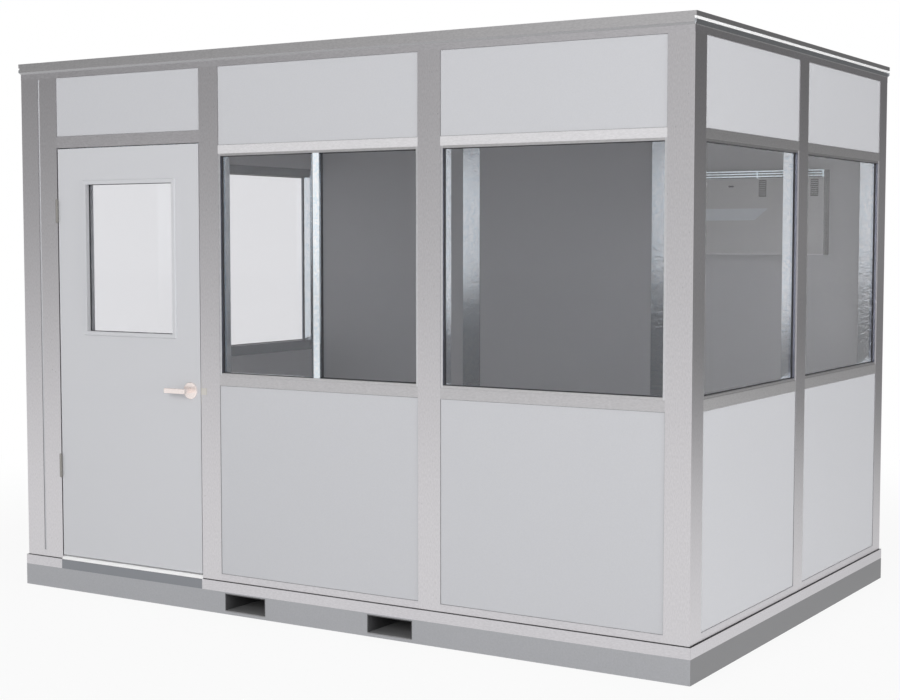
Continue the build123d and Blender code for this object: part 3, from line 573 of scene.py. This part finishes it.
# The cover's patches are painted light and shade: a bluish white highlight on the louvre band's
# front, dark shade in the outlet behind it, pale highlights on the grip and the foot, and dark
# shade on the right side.
cover_plastic_painted_light = finish(
    "off white cover plastic", (0.56, 0.56, 0.565), 0.35, Grain_Scale=500.0, Grain_Amount=0.03,
    patches=(
        cover_painted_patch(ac_between_rims, ac_band, (0.86, 0.93, 0.96), near=-slack, far=0.012),
        cover_painted_patch(ac_between_rims, ac_band, (0.06, 0.06, 0.062), near=0.002, far=0.027),
        cover_painted_patch(ac_across, ac_grip, (0.70, 0.76, 0.80), near=0.004, far=0.009),
        cover_painted_patch(ac_across, ac_foot, (0.80, 0.80, 0.82), near=-slack, far=0.006),
        cover_painted_patch(ac_right_side, everywhere, (0.09, 0.09, 0.095), near=-slack, far=0.030),
    ),
)
# The case's part inside the room is painted near black, as painted shade.
ac_indoor_shade = region_box(y=(everywhere[0], ac_room_side))
case_enamel_shaded = finish(
    "outdoor case enamel", (0.50, 0.49, 0.46), 0.45, Grain_Scale=300.0, Grain_Amount=0.06,
    patches=((*ac_indoor_shade, (0.07, 0.07, 0.073)),),
)
grille_enamel = finish("outdoor grille enamel", (0.46, 0.455, 0.43), 0.45, Grain_Amount=0.05)
fin_aluminium = finish(
    "condenser fin aluminium", (0.45, 0.46, 0.47), 0.45, 0.7, Grain_Amount=0.15,
)
display_plastic = finish("dark display plastic", (0.03, 0.03, 0.032), 0.2, Grain_Amount=0.05)
frame_plastic = finish("dark vane frame plastic", (0.035, 0.035, 0.037), 0.5, Grain_Amount=0.05)
vane_plastic = finish("grey vane plastic", (0.42, 0.43, 0.44), 0.5, Grain_Amount=0.05)

node_finishes = {
    "corner_posts": upright_aluminium,
    "front_posts": upright_aluminium,
    "back_posts": upright_aluminium,
    "side_posts": upright_aluminium,
    "hinge_post": upright_aluminium,
    "door_frame": upright_aluminium,
    "door_stops": upright_aluminium,
    "slider_stile": bright_aluminium_shaded,
    "window_uprights": window_upright_aluminium_shaded,
    "window_crossbars": crossbar_aluminium_shaded,
    "bottom_tracks": level_aluminium,
    "head_tracks": level_aluminium,
    "window_rails": window_rail_painted_light,
    "door_header": level_aluminium,
    "threshold": threshold_painted_white,
    "edge_bands": level_aluminium,
    "roof_fascia": fascia_aluminium_painted_light,
    "front_panels": panel_vinyl,
    "side_panels": panel_vinyl,
    "back_panels": panel_vinyl,
    "back_panel_ac": panel_vinyl,
    "ceiling_sheet": ceiling_board,
    "door_leaf": door_enamel,
    "door_lite_rims": door_enamel,
    "base_rail_front": base_enamel,
    "base_rail_back": base_enamel,
    "base_end_rails": end_rail_painted_shade,
    "cross_members": base_enamel,
    "fork_pockets": pocket_painted_shade,
    "door_sill": sill_enamel,
    "floor_deck": floor_boards,
    "floor_sheet": floor_vinyl,
    "wall_gasket": gasket_rubber_and_shade,
    "window_glass": clear_glass,
    "door_glass": clear_glass,
    "roof_deck": roof_enamel,
    "hinge_frame_leaves": hinge_steel,
    "hinge_door_leaves": hinge_steel,
    "strike_plate": strike_steel,
    "latch_plate": strike_steel,
    "lock_roses": champagne_metal,
    "lever_handles": champagne_metal,
    "ac_cover": cover_plastic_painted_light,
    "ac_case": case_enamel_shaded,
    "ac_grille": grille_enamel,
}
for node_name, material in node_finishes.items():
    slots = nodes[node_name].data.materials
    slots.clear()
    slots.append(material)


# Geometry node helpers
def grow_tree(name, sizes):
    """A geometry node tree with named sizes and a material, its given values and its end."""
    tree = bpy.data.node_groups.new(name, "GeometryNodeTree")
    tree.interface.new_socket("Geometry", in_out="INPUT", socket_type="NodeSocketGeometry")
    for size_name, kind, value in sizes:
        socket = tree.interface.new_socket(size_name, in_out="INPUT", socket_type=kind)
        if value is not None:
            socket.default_value = value
    tree.interface.new_socket("Material", in_out="INPUT", socket_type="NodeSocketMaterial")
    tree.interface.new_socket("Geometry", in_out="OUTPUT", socket_type="NodeSocketGeometry")
    return tree, add_node(tree, "NodeGroupInput").outputs, add_node(tree, "NodeGroupOutput")


def end_tree(tree, given, result, geometry):
    """Realise what was placed and give it its material."""
    solid = result_of(tree, "GeometryNodeRealizeInstances", Geometry=geometry)
    painted = result_of(
        tree, "GeometryNodeSetMaterial", Geometry=solid, Material=given["Material"],
    )
    feed(tree, painted, result.inputs["Geometry"])
    return tree


def keep(name, mesh, body):
    """Put a finished mesh in the scene on its body."""
    piece = bpy.data.objects.new(name, mesh)
    bpy.context.collection.objects.link(piece)
    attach(piece, body)


def grow(name, tree, seed_mesh, material, body, slot, **values):
    """Run a tree on a seed mesh and keep the result as one plain piece."""
    seed = bpy.data.objects.new(name + "_seed", seed_mesh)
    bpy.context.collection.objects.link(seed)
    modifier = seed.modifiers.new("grow", "NODES")
    modifier.node_group = tree
    values["Material"] = material
    for item in tree.interface.items_tree:
        wanted = item.name.replace(" ", "_")
        if item.in_out == "INPUT" and wanted in values:
            modifier[item.identifier] = values[wanted]
    graph = bpy.context.evaluated_depsgraph_get()
    mesh = bpy.data.meshes.new_from_object(seed.evaluated_get(graph))
    bpy.data.objects.remove(seed)
    mesh.name = name
    mesh.materials.clear()
    mesh.materials.append(material)
    keep(name, mesh, body)


def plain_mesh(name, points, faces=(), edges=()):
    """A mesh from points, and faces or edges."""
    mesh = bpy.data.meshes.new(name)
    mesh.from_pydata(points, edges, faces)
    mesh.update()
    return mesh


def path_mesh(name, loops, closed=True):
    """Edge loops for a tree to follow."""
    points, edges = [], []
    for loop in loops:
        start = len(points)
        points += loop
        edges += [(start + index, start + index + 1) for index in range(len(loop) - 1)]
        if closed:
            edges.append((start + len(loop) - 1, start))
    return plain_mesh(name, points, edges=edges)


def strip_tree():
    """A rounded strip along paths, with rounded corners."""
    sizes = (
        ("Strip Radius", FLOAT, 0.002),
        ("Corner Radius", FLOAT, 0.004),
        ("Sides", "NodeSocketInt", 8),
    )
    corner_points = 3
    tree, given, result = grow_tree("rounded strip", sizes)
    path = result_of(tree, "GeometryNodeMeshToCurve", Mesh=given["Geometry"])
    rounded = result_of(
        tree, "GeometryNodeFilletCurve", mode="POLY", Curve=path, Count=corner_points,
        Radius=given["Corner Radius"],
    )
    outline = result_of(
        tree, "GeometryNodeCurvePrimitiveCircle", Resolution=given["Sides"],
        Radius=given["Strip Radius"],
    )
    solid = result_of(
        tree, "GeometryNodeCurveToMesh", Curve=rounded, Profile_Curve=outline, Fill_Caps=True,
    )
    return end_tree(tree, given, result, solid)


def bead_tree():
    """A weld bead along paths, thinner at every second step along its run."""
    sizes = (
        ("Bead Radius", FLOAT, 0.003),
        ("Ripple Length", FLOAT, 0.004),
        ("Ripple Depth", FLOAT, 0.22),
    )
    sides = 6
    tree, given, result = grow_tree("weld bead", sizes)
    path = result_of(tree, "GeometryNodeMeshToCurve", Mesh=given["Geometry"])
    steps = result_of(
        tree, "GeometryNodeResampleCurve", mode="LENGTH", Curve=path,
        Length=given["Ripple Length"],
    )
    odd = maths(tree, "MODULO", result_of(tree, "GeometryNodeInputIndex"), 2.0)
    dip = maths(tree, "MULTIPLY", odd, given["Ripple Depth"])
    outline = result_of(
        tree, "GeometryNodeCurvePrimitiveCircle", Resolution=sides, Radius=given["Bead Radius"],
    )
    solid = result_of(
        tree, "GeometryNodeCurveToMesh", Curve=steps, Profile_Curve=outline,
        Scale=maths(tree, "SUBTRACT", 1.0, dip), Fill_Caps=True,
    )
    return end_tree(tree, given, result, solid)


def heads_tree():
    """One fastener head at every point, turned to the point's own facing."""
    sizes = (("Head", "NodeSocketObject", None), ("Size", FLOAT, 1.0))
    tree, given, result = grow_tree("fastener heads", sizes)
    head = add_node(tree, "GeometryNodeObjectInfo", Object=given["Head"]).outputs["Geometry"]
    facing = result_of(
        tree, "GeometryNodeInputNamedAttribute", data_type="FLOAT_VECTOR", Name="facing",
    )
    turn = result_of(tree, "FunctionNodeAlignRotationToVector", axis="Z", Vector=facing)
    copies = result_of(
        tree, "GeometryNodeInstanceOnPoints", Points=given["Geometry"], Instance=head,
        Rotation=turn, Scale=given["Size"],
    )
    return end_tree(tree, given, result, copies)


def slats_tree():
    """A thin tilted slat at every point."""
    sizes = (
        ("Slat Size", VECTOR, (0.001, 0.002, 0.014)),
        ("Tilt", VECTOR, (0.0, 0.0, 0.0)),
    )
    tree, given, result = grow_tree("slats", sizes)
    slat = result_of(tree, "GeometryNodeMeshCube", Size=given["Slat Size"])
    turn = result_of(tree, "FunctionNodeEulerToRotation", Euler=given["Tilt"])
    copies = result_of(
        tree, "GeometryNodeInstanceOnPoints", Points=given["Geometry"], Instance=slat,
        Rotation=turn,
    )
    return end_tree(tree, given, result, copies)


strip = strip_tree()
bead = bead_tree()
heads = heads_tree()
slats = slats_tree()


# Shapes that the trees and the fittings start from
def ring(radius, height, sides, star=None):
    """Points round an upright axis.

    star is a count and a radius: one point in the count keeps to the ring, and the others
    lie at the star's radius.
    """
    points = []
    for index in range(sides):
        angle = 2 * pi * index / sides
        reach = radius if star is None or index % star[0] == 0 else star[1]
        points.append((reach * cos(angle), reach * sin(angle), height))
    return points


def stacked_rings(name, rings, tip=None):
    """A closed shell through rings of equal count, capped below and at the top."""
    count = len(rings[0])
    points = [point for one in rings for point in one]
    faces = [tuple(reversed(range(count)))]
    for level in range(len(rings) - 1):
        for index in range(count):
            after = (index + 1) % count
            low, high = level * count, (level + 1) * count
            faces.append((low + index, low + after, high + after, high + index))
    last = (len(rings) - 1) * count
    if tip is None:
        faces.append(tuple(range(last, last + count)))
    else:
        points.append(tip)
        top = len(points) - 1
        faces += [(last + index, last + (index + 1) % count, top) for index in range(count)]
    return plain_mesh(name, points, faces)


def head_shape(name, sides, outline, tip=None):
    """A fastener head that only the tree uses; its sizes are in millimetres."""
    unit = 0.001
    rings = []
    for radius, height, *star in outline:
        star = (star[0], star[1] * unit) if star else None
        rings.append(ring(radius * unit, height * unit, sides, star))
    mesh = stacked_rings(name, rings, tip and (0.0, 0.0, tip * unit))
    return bpy.data.objects.new(name, mesh)


# A low domed screw head with a cross recess, and a hexagon head on a round washer
cross_outline = ((1.0, 0.0), (0.94, 0.30), (0.62, 0.52), (0.48, 0.56, 4, 0.16))
cross_recess_depth = 0.05
hex_outline = (
    (1.0, 0.0), (0.98, 0.12), (0.62, 0.20, 3, 0.565), (0.62, 0.58, 3, 0.565), (0.50, 0.68),
)


def fasteners(name, placed, head, body, slot, radius):
    """Heads at places with their facings; radius in millimetres."""
    seed = plain_mesh(name, [place for place, _ in placed])
    facing = seed.attributes.new("facing", "FLOAT_VECTOR", "POINT")
    for index, (_, way) in enumerate(placed):
        facing.data[index].vector = way
    grow(name, heads, seed, screw_steel, body, slot, Head=head, Size=radius)


def wall_point(wall, along, inward, height):
    """A point on a wall, along it as seen from outside and inward from its face."""
    return {
        "front": (along, inward - half_depth, height),
        "right": (half_length - inward, along, height),
        "back": (-along, half_depth - inward, height),
        "left": (inward - half_length, -along, height),
    }[wall]


def rectangle(wall, left, right, low, high, inward):
    """The corners of an upright rectangle on a wall."""
    corners = ((left, low), (right, low), (right, high), (left, high))
    return [wall_point(wall, along, inward, height) for along, height in corners]


def bay(modules, index):
    """The left and right edges of one bay between its posts."""
    start = -modules * module / 2
    left = start + index * module + (post if index == 0 else post / 2)
    right = start + (index + 1) * module - (post if index == modules - 1 else post / 2)
    return left, right


# Glazing rubber round every pane, panel edge strips, and the door's seals
side_bays = [(side, 2, index) for side in ("left", "right") for index in (0, 1)]
glass_low, glass_high = window_foot + frame_sight, head_rail_foot - frame_sight


def pane_openings():
    """Every pane's wall, edges and setback."""
    slider_left, slider_right = bay(3, 1)
    panes = [
        ("front", slider_left + frame_sight, -stile_width / 2, glass_setback),
        ("front", stile_width / 2, slider_right - frame_sight, slider_setback),
    ]
    for wall, modules, index in [("front", 3, 2)] + side_bays:
        left, right = bay(modules, index)
        panes.append((wall, left + frame_sight, right - frame_sight, glass_setback))
    return panes


def lay_glazing_rubber():
    """A rubber strip in the corner of glass and frame, outside and inside."""
    radius = 0.0024
    edge = radius * 0.5
    loops = []
    for wall, left, right, setback in pane_openings():
        for inward in (setback - edge, setback + glass_thickness + edge):
            loops.append(rectangle(
                wall, left + edge, right - edge, glass_low + edge, glass_high - edge, inward,
            ))
    seed = path_mesh("glazing_rubber", loops)
    grow("glazing_rubber", strip, seed, glazing_rubber, "office", "gasket", Strip_Radius=radius)


def panel_rectangles():
    """Every panel's wall and visible edges between its posts and rails."""
    low, high = bottom_track_top, head_track_foot
    found = [
        ("front", -half_length + post, hinge_post_left, low, high),
        ("front", door_left_edge, door_right_edge, header_top, high),
    ]
    for wall, modules, index in [("front", 3, 1), ("front", 3, 2)] + side_bays:
        left, right = bay(modules, index)
        found.append((wall, left, right, low, sill_rail_foot))
        found.append((wall, left, right, head_rail_top, high))
    for index in range(3):
        found.append(("back", *bay(3, index), low, high))
    return found


def lay_panel_strips():
    """A thin dark vinyl strip where each panel meets its posts and rails, which also stands in for
    the shade in the panel's recess.
    """
    radius = 0.0013
    corner_radius = 0.0005
    proud = radius * 0.3
    edge = radius * 0.4
    loops = []
    for wall, left, right, low, high in panel_rectangles():
        for inward in (skin - proud, wall_thickness - skin + proud):
            loops.append(rectangle(
                wall, left + edge, right - edge, low + edge, high - edge, inward,
            ))
    seed = path_mesh("panel_edge_strips", loops)
    grow(
        "panel_edge_strips", strip, seed, panel_edge_vinyl_and_shade, "office", "gasket",
        Strip_Radius=radius, Corner_Radius=corner_radius, Sides=6,
    )


def lay_door_seals():
    """A bulb seal along the stops, and a strip round the door's own glass."""
    radius = 0.0022
    inset = 0.007
    inward = door_stop_front + half_depth - radius * 0.7
    left, right = door_left_edge + inset, door_right_edge - inset
    low, high = threshold_top + seal_clearance, header_foot - inset
    turns = ((left, low), (left, high), (right, high), (right, low))
    path = [wall_point("front", along, inward, height) for along, height in turns]
    seed = path_mesh("door_seal", [path], closed=False)
    grow("door_seal", strip, seed, gasket_rubber_and_shade, "office", "gasket", Strip_Radius=radius)

    lite_low, lite_high = map(Vector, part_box("door_lite_rims"))
    radius = 0.0018
    rim = 0.021 + radius * 0.5
    left, right = lite_low.x + rim, lite_high.x - rim
    low, high = lite_low.z + rim, lite_high.z - rim
    front, back = door_glass_faces
    loops = []
    for face in (front - radius * 0.5, back + radius * 0.5):
        turns = ((left, low), (right, low), (right, high), (left, high))
        loops.append([(x, face, z) for x, z in turns])
    seed = path_mesh("door_glass_rubber", loops)
    grow("door_glass_rubber", strip, seed, glazing_rubber, "door", "gasket", Strip_Radius=radius)


# Screws
to_left, to_right, to_back, upward = (-1, 0, 0), (1, 0, 0), (0, 1, 0), (0, 0, 1)


def place_screws():
    """Screws in the hinges, the plates, the threshold, the grille and the roof deck."""
    cross = head_shape("cross_head", 16, cross_outline, cross_recess_depth)
    hexagon = head_shape("hex_head", 18, hex_outline)
    frame_leaf_x, door_leaf_x = -1.5851, -1.5841
    hinge_holes = ((-0.040, 0.013), (-0.008, 0.013), (0.030, 0.022))
    on_frame, on_door = [], []
    for height in hinge_heights:
        for rise, inward in hinge_holes:
            y, z = inward - half_depth, height + rise
            on_frame.append(((frame_leaf_x, y, z), to_right))
            on_door.append(((door_leaf_x, y, z), to_left))
    strike_y, strike_reach = -1.2040, 0.048
    latch_x, latch_y, latch_reach = -0.6747, -1.1950, 0.0225
    for end in (-1, 1):
        on_frame.append(((door_right_edge, strike_y, strike_height + end * strike_reach), to_left))
        on_door.append(((latch_x, latch_y, strike_height + end * latch_reach), to_right))
    fasteners("frame_screws", on_frame, cross, "office", "hinge_steel", radius=3.6)
    fasteners("door_screws", on_door, cross, "door", "hinge_steel", radius=3.0)

    first_x, pitch, threshold_y = door_left_edge + 0.050, 0.2051, -1.1640
    sill = [((first_x + pitch * index, threshold_y, threshold_top), upward) for index in range(5)]
    fasteners("threshold_screws", sill, cross, "office", "hinge_steel", radius=4.0)

    grille_low, grille_high = map(Vector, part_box("ac_grille"))
    margin, sunk = 0.013, 0.0022
    grille = []
    for x in (grille_low.x + margin, ac_middle_x, grille_high.x - margin):
        for z in (grille_low.z + margin, grille_high.z - margin):
            grille.append(((x, grille_high.y - sunk, z), to_back))
    fasteners("grille_screws", grille, cross, "office", "ac_metal", radius=3.8)

    deck_low, deck_high = map(Vector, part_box("roof_deck"))
    row_pitch = 0.55
    valleys = round((deck_high.x - deck_low.x) / deck_pitch) - 1
    roof = []
    for index in range(valleys):
        x = (index - (valleys - 1) / 2) * deck_pitch
        for row in range(-2, 3):
            roof.append(((x, row * row_pitch, deck_low.z + deck_thickness), upward))
    fasteners("roof_deck_screws", roof, hexagon, "office", "roof_steel", radius=9.0)


# The air conditioner's small pieces
def rounded_plate(name, center, material, width, height, depth):
    """A plate with rounded corners and a bevelled front, facing the front of the office."""
    radius = 0.003
    corner_steps = 4
    rings = []
    for inset, reach in ((0.0, 0.0), (0.0, 0.7 * depth), (0.3 * depth, depth)):
        points = []
        for corner, (x_side, z_side) in enumerate(((1, 1), (-1, 1), (-1, -1), (1, -1))):
            for step in range(corner_steps + 1):
                angle = pi / 2 * (corner + step / corner_steps)
                x = x_side * (width / 2 - radius) + (radius - inset) * cos(angle)
                z = z_side * (height / 2 - radius) + (radius - inset) * sin(angle)
                points.append((center[0] + x, center[1] - reach, center[2] + z))
        rings.append(list(reversed(points)))
    mesh = stacked_rings(name, rings)
    work = bmesh.new()
    work.from_mesh(mesh)
    bmesh.ops.recalc_face_normals(work, faces=work.faces)
    work.to_mesh(mesh)
    work.free()
    mesh.materials.append(material)
    keep(name, mesh, "office")


def lay_slats(name, points, material, slot, size, tilt=0.0):
    """Slats at points of the air conditioner, tilted about their length."""
    seed = plain_mesh(name, points)
    grow(name, slats, seed, material, "office", slot, Slat_Size=size, Tilt=(tilt, 0.0, 0.0))


def dress_air_conditioner():
    """Vanes, a display, trims and condenser fins; drops are measured from the cover's top."""
    vane_x = {"left": ac_middle_x + 0.030, "right": ac_middle_x + 0.312}
    vane_drop, vane_pitch, vane_proud = 0.058, 0.0098, 0.0016
    frame_drop = 0.0923
    vanes = []
    for side, x in vane_x.items():
        for index in range(8):
            drop = vane_drop + vane_pitch * index
            vanes.append((x, ac_front - vane_proud, ac_top - drop))
        rounded_plate(
            "ac_vane_frame_" + side, (x, ac_front, ac_top - frame_drop), frame_plastic,
            width=0.042, height=0.088, depth=0.0012,
        )
    lay_slats(
        "ac_vanes", vanes, vane_plastic, "ac_plastic", size=(0.036, 0.0032, 0.0024), tilt=0.5,
    )
    rounded_plate(
        "ac_display", (ac_middle_x - 0.145, ac_front, ac_top - 0.080), display_plastic,
        width=0.030, height=0.009, depth=0.0015,
    )

    louvre_tilt = 0.085
    trim_drops, trim_proud = (0.0035, 0.0165, 0.0300), 0.0008
    outlet_width = (ac_high.x - ac_low.x - 0.032) / 2
    trims = []
    for side in (-1, 1):
        x = ac_middle_x + side * (outlet_width / 2 + 0.004)
        trims += [(x, ac_front - trim_proud, ac_top - drop) for drop in trim_drops]
    lay_slats(
        "ac_louvre_trims", trims, louvre_chrome, "ac_metal",
        size=(outlet_width, 0.0022, 0.0062), tilt=louvre_tilt,
    )
    divider_proud, divider_drop = 0.0010, 0.0195
    dividers = [
        (ac_middle_x + offset, ac_front - divider_proud, ac_top - divider_drop)
        for offset in (0.0, 0.358)
    ]
    lay_slats(
        "ac_divider_trims", dividers, louvre_chrome, "ac_metal",
        size=(0.0075, 0.0026, 0.036), tilt=louvre_tilt,
    )

    grille_low, grille_high = map(Vector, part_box("ac_grille"))
    rows, columns = 12, 160
    margin_x, margin_z, fin_inset = 0.034, 0.030, 0.0012
    span_x = grille_high.x - grille_low.x - 2 * margin_x
    span_z = grille_high.z - grille_low.z - 2 * margin_z
    fins = []
    for row in range(rows):
        z = grille_low.z + margin_z + (row + 0.5) * span_z / rows
        for column in range(columns):
            x = grille_low.x + margin_x + column * span_x / (columns - 1)
            fins.append((x, grille_low.y + fin_inset, z))
    lay_slats(
        "condenser_fins", fins, fin_aluminium, "ac_metal", size=(0.0006, 0.0024, 0.0138),
    )


# Welds under the base
def lay_welds():
    """Beads where the cross members and the fork pockets meet the rails."""
    member_pitch, member_half_width = 0.700, 0.0254
    toe_y, toe_length = 1.1772, 0.038
    toe_heights = (0.0045, 0.0075)
    pocket_x, pocket_half_width = 0.4064, 0.1191
    pocket_y = half_depth - 0.0112
    pocket_heights = (0.020, 0.096)
    paths = []
    for side in (-1, 1):
        toe_ends = (side * toe_y, side * (toe_y + toe_length))
        for index in range(-2, 3):
            for edge in (-member_half_width, member_half_width):
                x = index * member_pitch + edge
                paths.append([(x, y, z) for y, z in zip(toe_ends, toe_heights)])
        for pocket in (-pocket_x, pocket_x):
            for edge in (-pocket_half_width, pocket_half_width):
                paths.append([(pocket + edge, side * pocket_y, z) for z in pocket_heights])
    seed = path_mesh("weld_beads", paths, closed=False)
    grow("weld_beads", bead, seed, weld_steel, "office", "base_paint", Bead_Radius=0.0034)


lay_glazing_rubber()
lay_panel_strips()
lay_door_seals()
place_screws()
dress_air_conditioner()
lay_welds()


# Light, floor and camera
white = (1.0, 1.0, 1.0, 1.0)


def soft_lamp(name, place, target, size, watts):
    """A large area lamp that faces a point, and that metal doesn't mirror."""
    lamp = bpy.data.lights.new(name, "AREA")
    lamp.shape = "RECTANGLE"
    lamp.size, lamp.size_y = size
    lamp.energy = watts
    lamp_object = bpy.data.objects.new(name, lamp)
    bpy.context.collection.objects.link(lamp_object)
    lamp_object.location = place
    direction = Vector(target) - Vector(place)
    lamp_object.rotation_euler = direction.to_track_quat("-Z", "Y").to_euler()
    lamp_object.visible_glossy = False


def direction_ramp(tree, axis, limits, low_value, high_value):
    """A value that runs from one to another as the look direction turns along an axis."""
    return smooth_ramp(tree, place_along(tree, axis, "Generated"), limits, low_value, high_value)


def any_ray(tree, *kinds):
    """One for a ray of any of the named kinds, otherwise nought."""
    path = add_node(tree, "ShaderNodeLightPath").outputs
    result = path[kinds[0]]
    for kind in kinds[1:]:
        result = maths(tree, "MAXIMUM", result, path[kind])
    return result


def light_world():
    """White to the camera and through glass, and to metal a bright horizon under a dark sky."""
    world = bpy.data.worlds.new("studio")
    bpy.context.scene.world = world
    world.use_nodes = True
    tree = world.node_tree
    fill = tree.nodes["Background"]
    fill.inputs["Color"].default_value = white
    fill.inputs["Strength"].default_value = fill_strength

    front_sky = direction_ramp(tree, "X", right_turn, sky_value, sky_right_value)
    sky = direction_ramp(tree, "Y", sky_rear_turn, front_sky, sky_value)
    strength = direction_ramp(tree, "Z", (horizon, sky_start), horizon_value, sky)
    for turn in (("Y", rear_turn, 1.0, rear_value), ("X", right_turn, 1.0, right_value)):
        strength = maths(tree, "MULTIPLY", strength, direction_ramp(tree, *turn))
    rear = direction_ramp(tree, "Y", mirror_rear_turn, 1.0, mirror_rear_value)
    reflected, mirrored, plain = (
        result_of(tree, "ShaderNodeBackground", white, value) for value in (strength, rear, 1.0)
    )
    sharp = mix_shaders(tree, any_ray(tree, "Is Singular Ray"), reflected, mirrored)
    gloss = mix_shaders(tree, any_ray(tree, "Is Glossy Ray"), fill.outputs[0], sharp)
    direct = any_ray(tree, "Is Camera Ray", "Is Transmission Ray")
    view = mix_shaders(tree, direct, gloss, plain)
    feed(tree, view, tree.nodes["World Output"].inputs["Surface"])


def lay_floor():
    """A pale floor, white to the camera far out, with a faint shadow round the office."""
    half = floor_half_width
    corners = [(-half, -half, 0.0), (half, -half, 0.0), (half, half, 0.0), (-half, half, 0.0)]
    mesh = plain_mesh("studio_floor", corners, [(0, 1, 2, 3)])
    floor = bpy.data.objects.new("studio_floor", mesh)
    bpy.context.collection.objects.link(floor)
    material, tree, shader = new_material("pale studio floor")
    shader.inputs["Base Color"].default_value = (floor_colour, floor_colour, floor_colour, 1.0)
    shader.inputs["Roughness"].default_value = floor_roughness
    reach = vector_maths(tree, "LENGTH", texture_place(tree))
    fade = smooth_ramp(tree, reach, floor_white_reach, floor_white_near, 1.0)
    rear = smooth_ramp(tree, place_along(tree, "Y"), floor_rear_reach, 1.0, floor_rear_value)
    far = smooth_ramp(tree, reach, floor_far_reach, 1.0, floor_far_value)
    direct = any_ray(tree, "Is Camera Ray", "Is Transmission Ray")
    strength = mix_values(tree, direct, maths(tree, "MULTIPLY", rear, far), 1.0)
    glow = result_of(tree, "ShaderNodeEmission", Strength=strength)
    seen = any_ray(tree, "Is Camera Ray", "Is Transmission Ray", "Is Glossy Ray")
    shown = mix_shaders(tree, maths(tree, "MULTIPLY", seen, fade), shader.outputs[0], glow)
    feed(tree, shown, tree.nodes["Material Output"].inputs["Surface"])
    mesh.materials.append(material)


def place_camera():
    """The camera at the photograph's place and angle."""
    camera = bpy.data.cameras.new("camera")
    camera.lens = camera_lens
    camera.sensor_width = camera_sensor
    camera.sensor_fit = "HORIZONTAL"
    camera_object = bpy.data.objects.new("camera", camera)
    bpy.context.collection.objects.link(camera_object)
    camera_object.location = camera_place
    camera_object.rotation_euler = camera_turn
    bpy.context.scene.camera = camera_object


light_world()
lay_floor()
soft_lamp("front lamp", (3.2, -14.0, 5.5), target=(0.0, 0.0, 1.2), size=(6.0, 6.0), watts=790.0)
soft_lamp("right lamp", (14.0, -2.5, 1.6), target=(1.8, 0.0, 0.9), size=(6.0, 3.0), watts=720.0)
place_camera()
bpy.context.scene.view_settings.view_transform = "Standard"
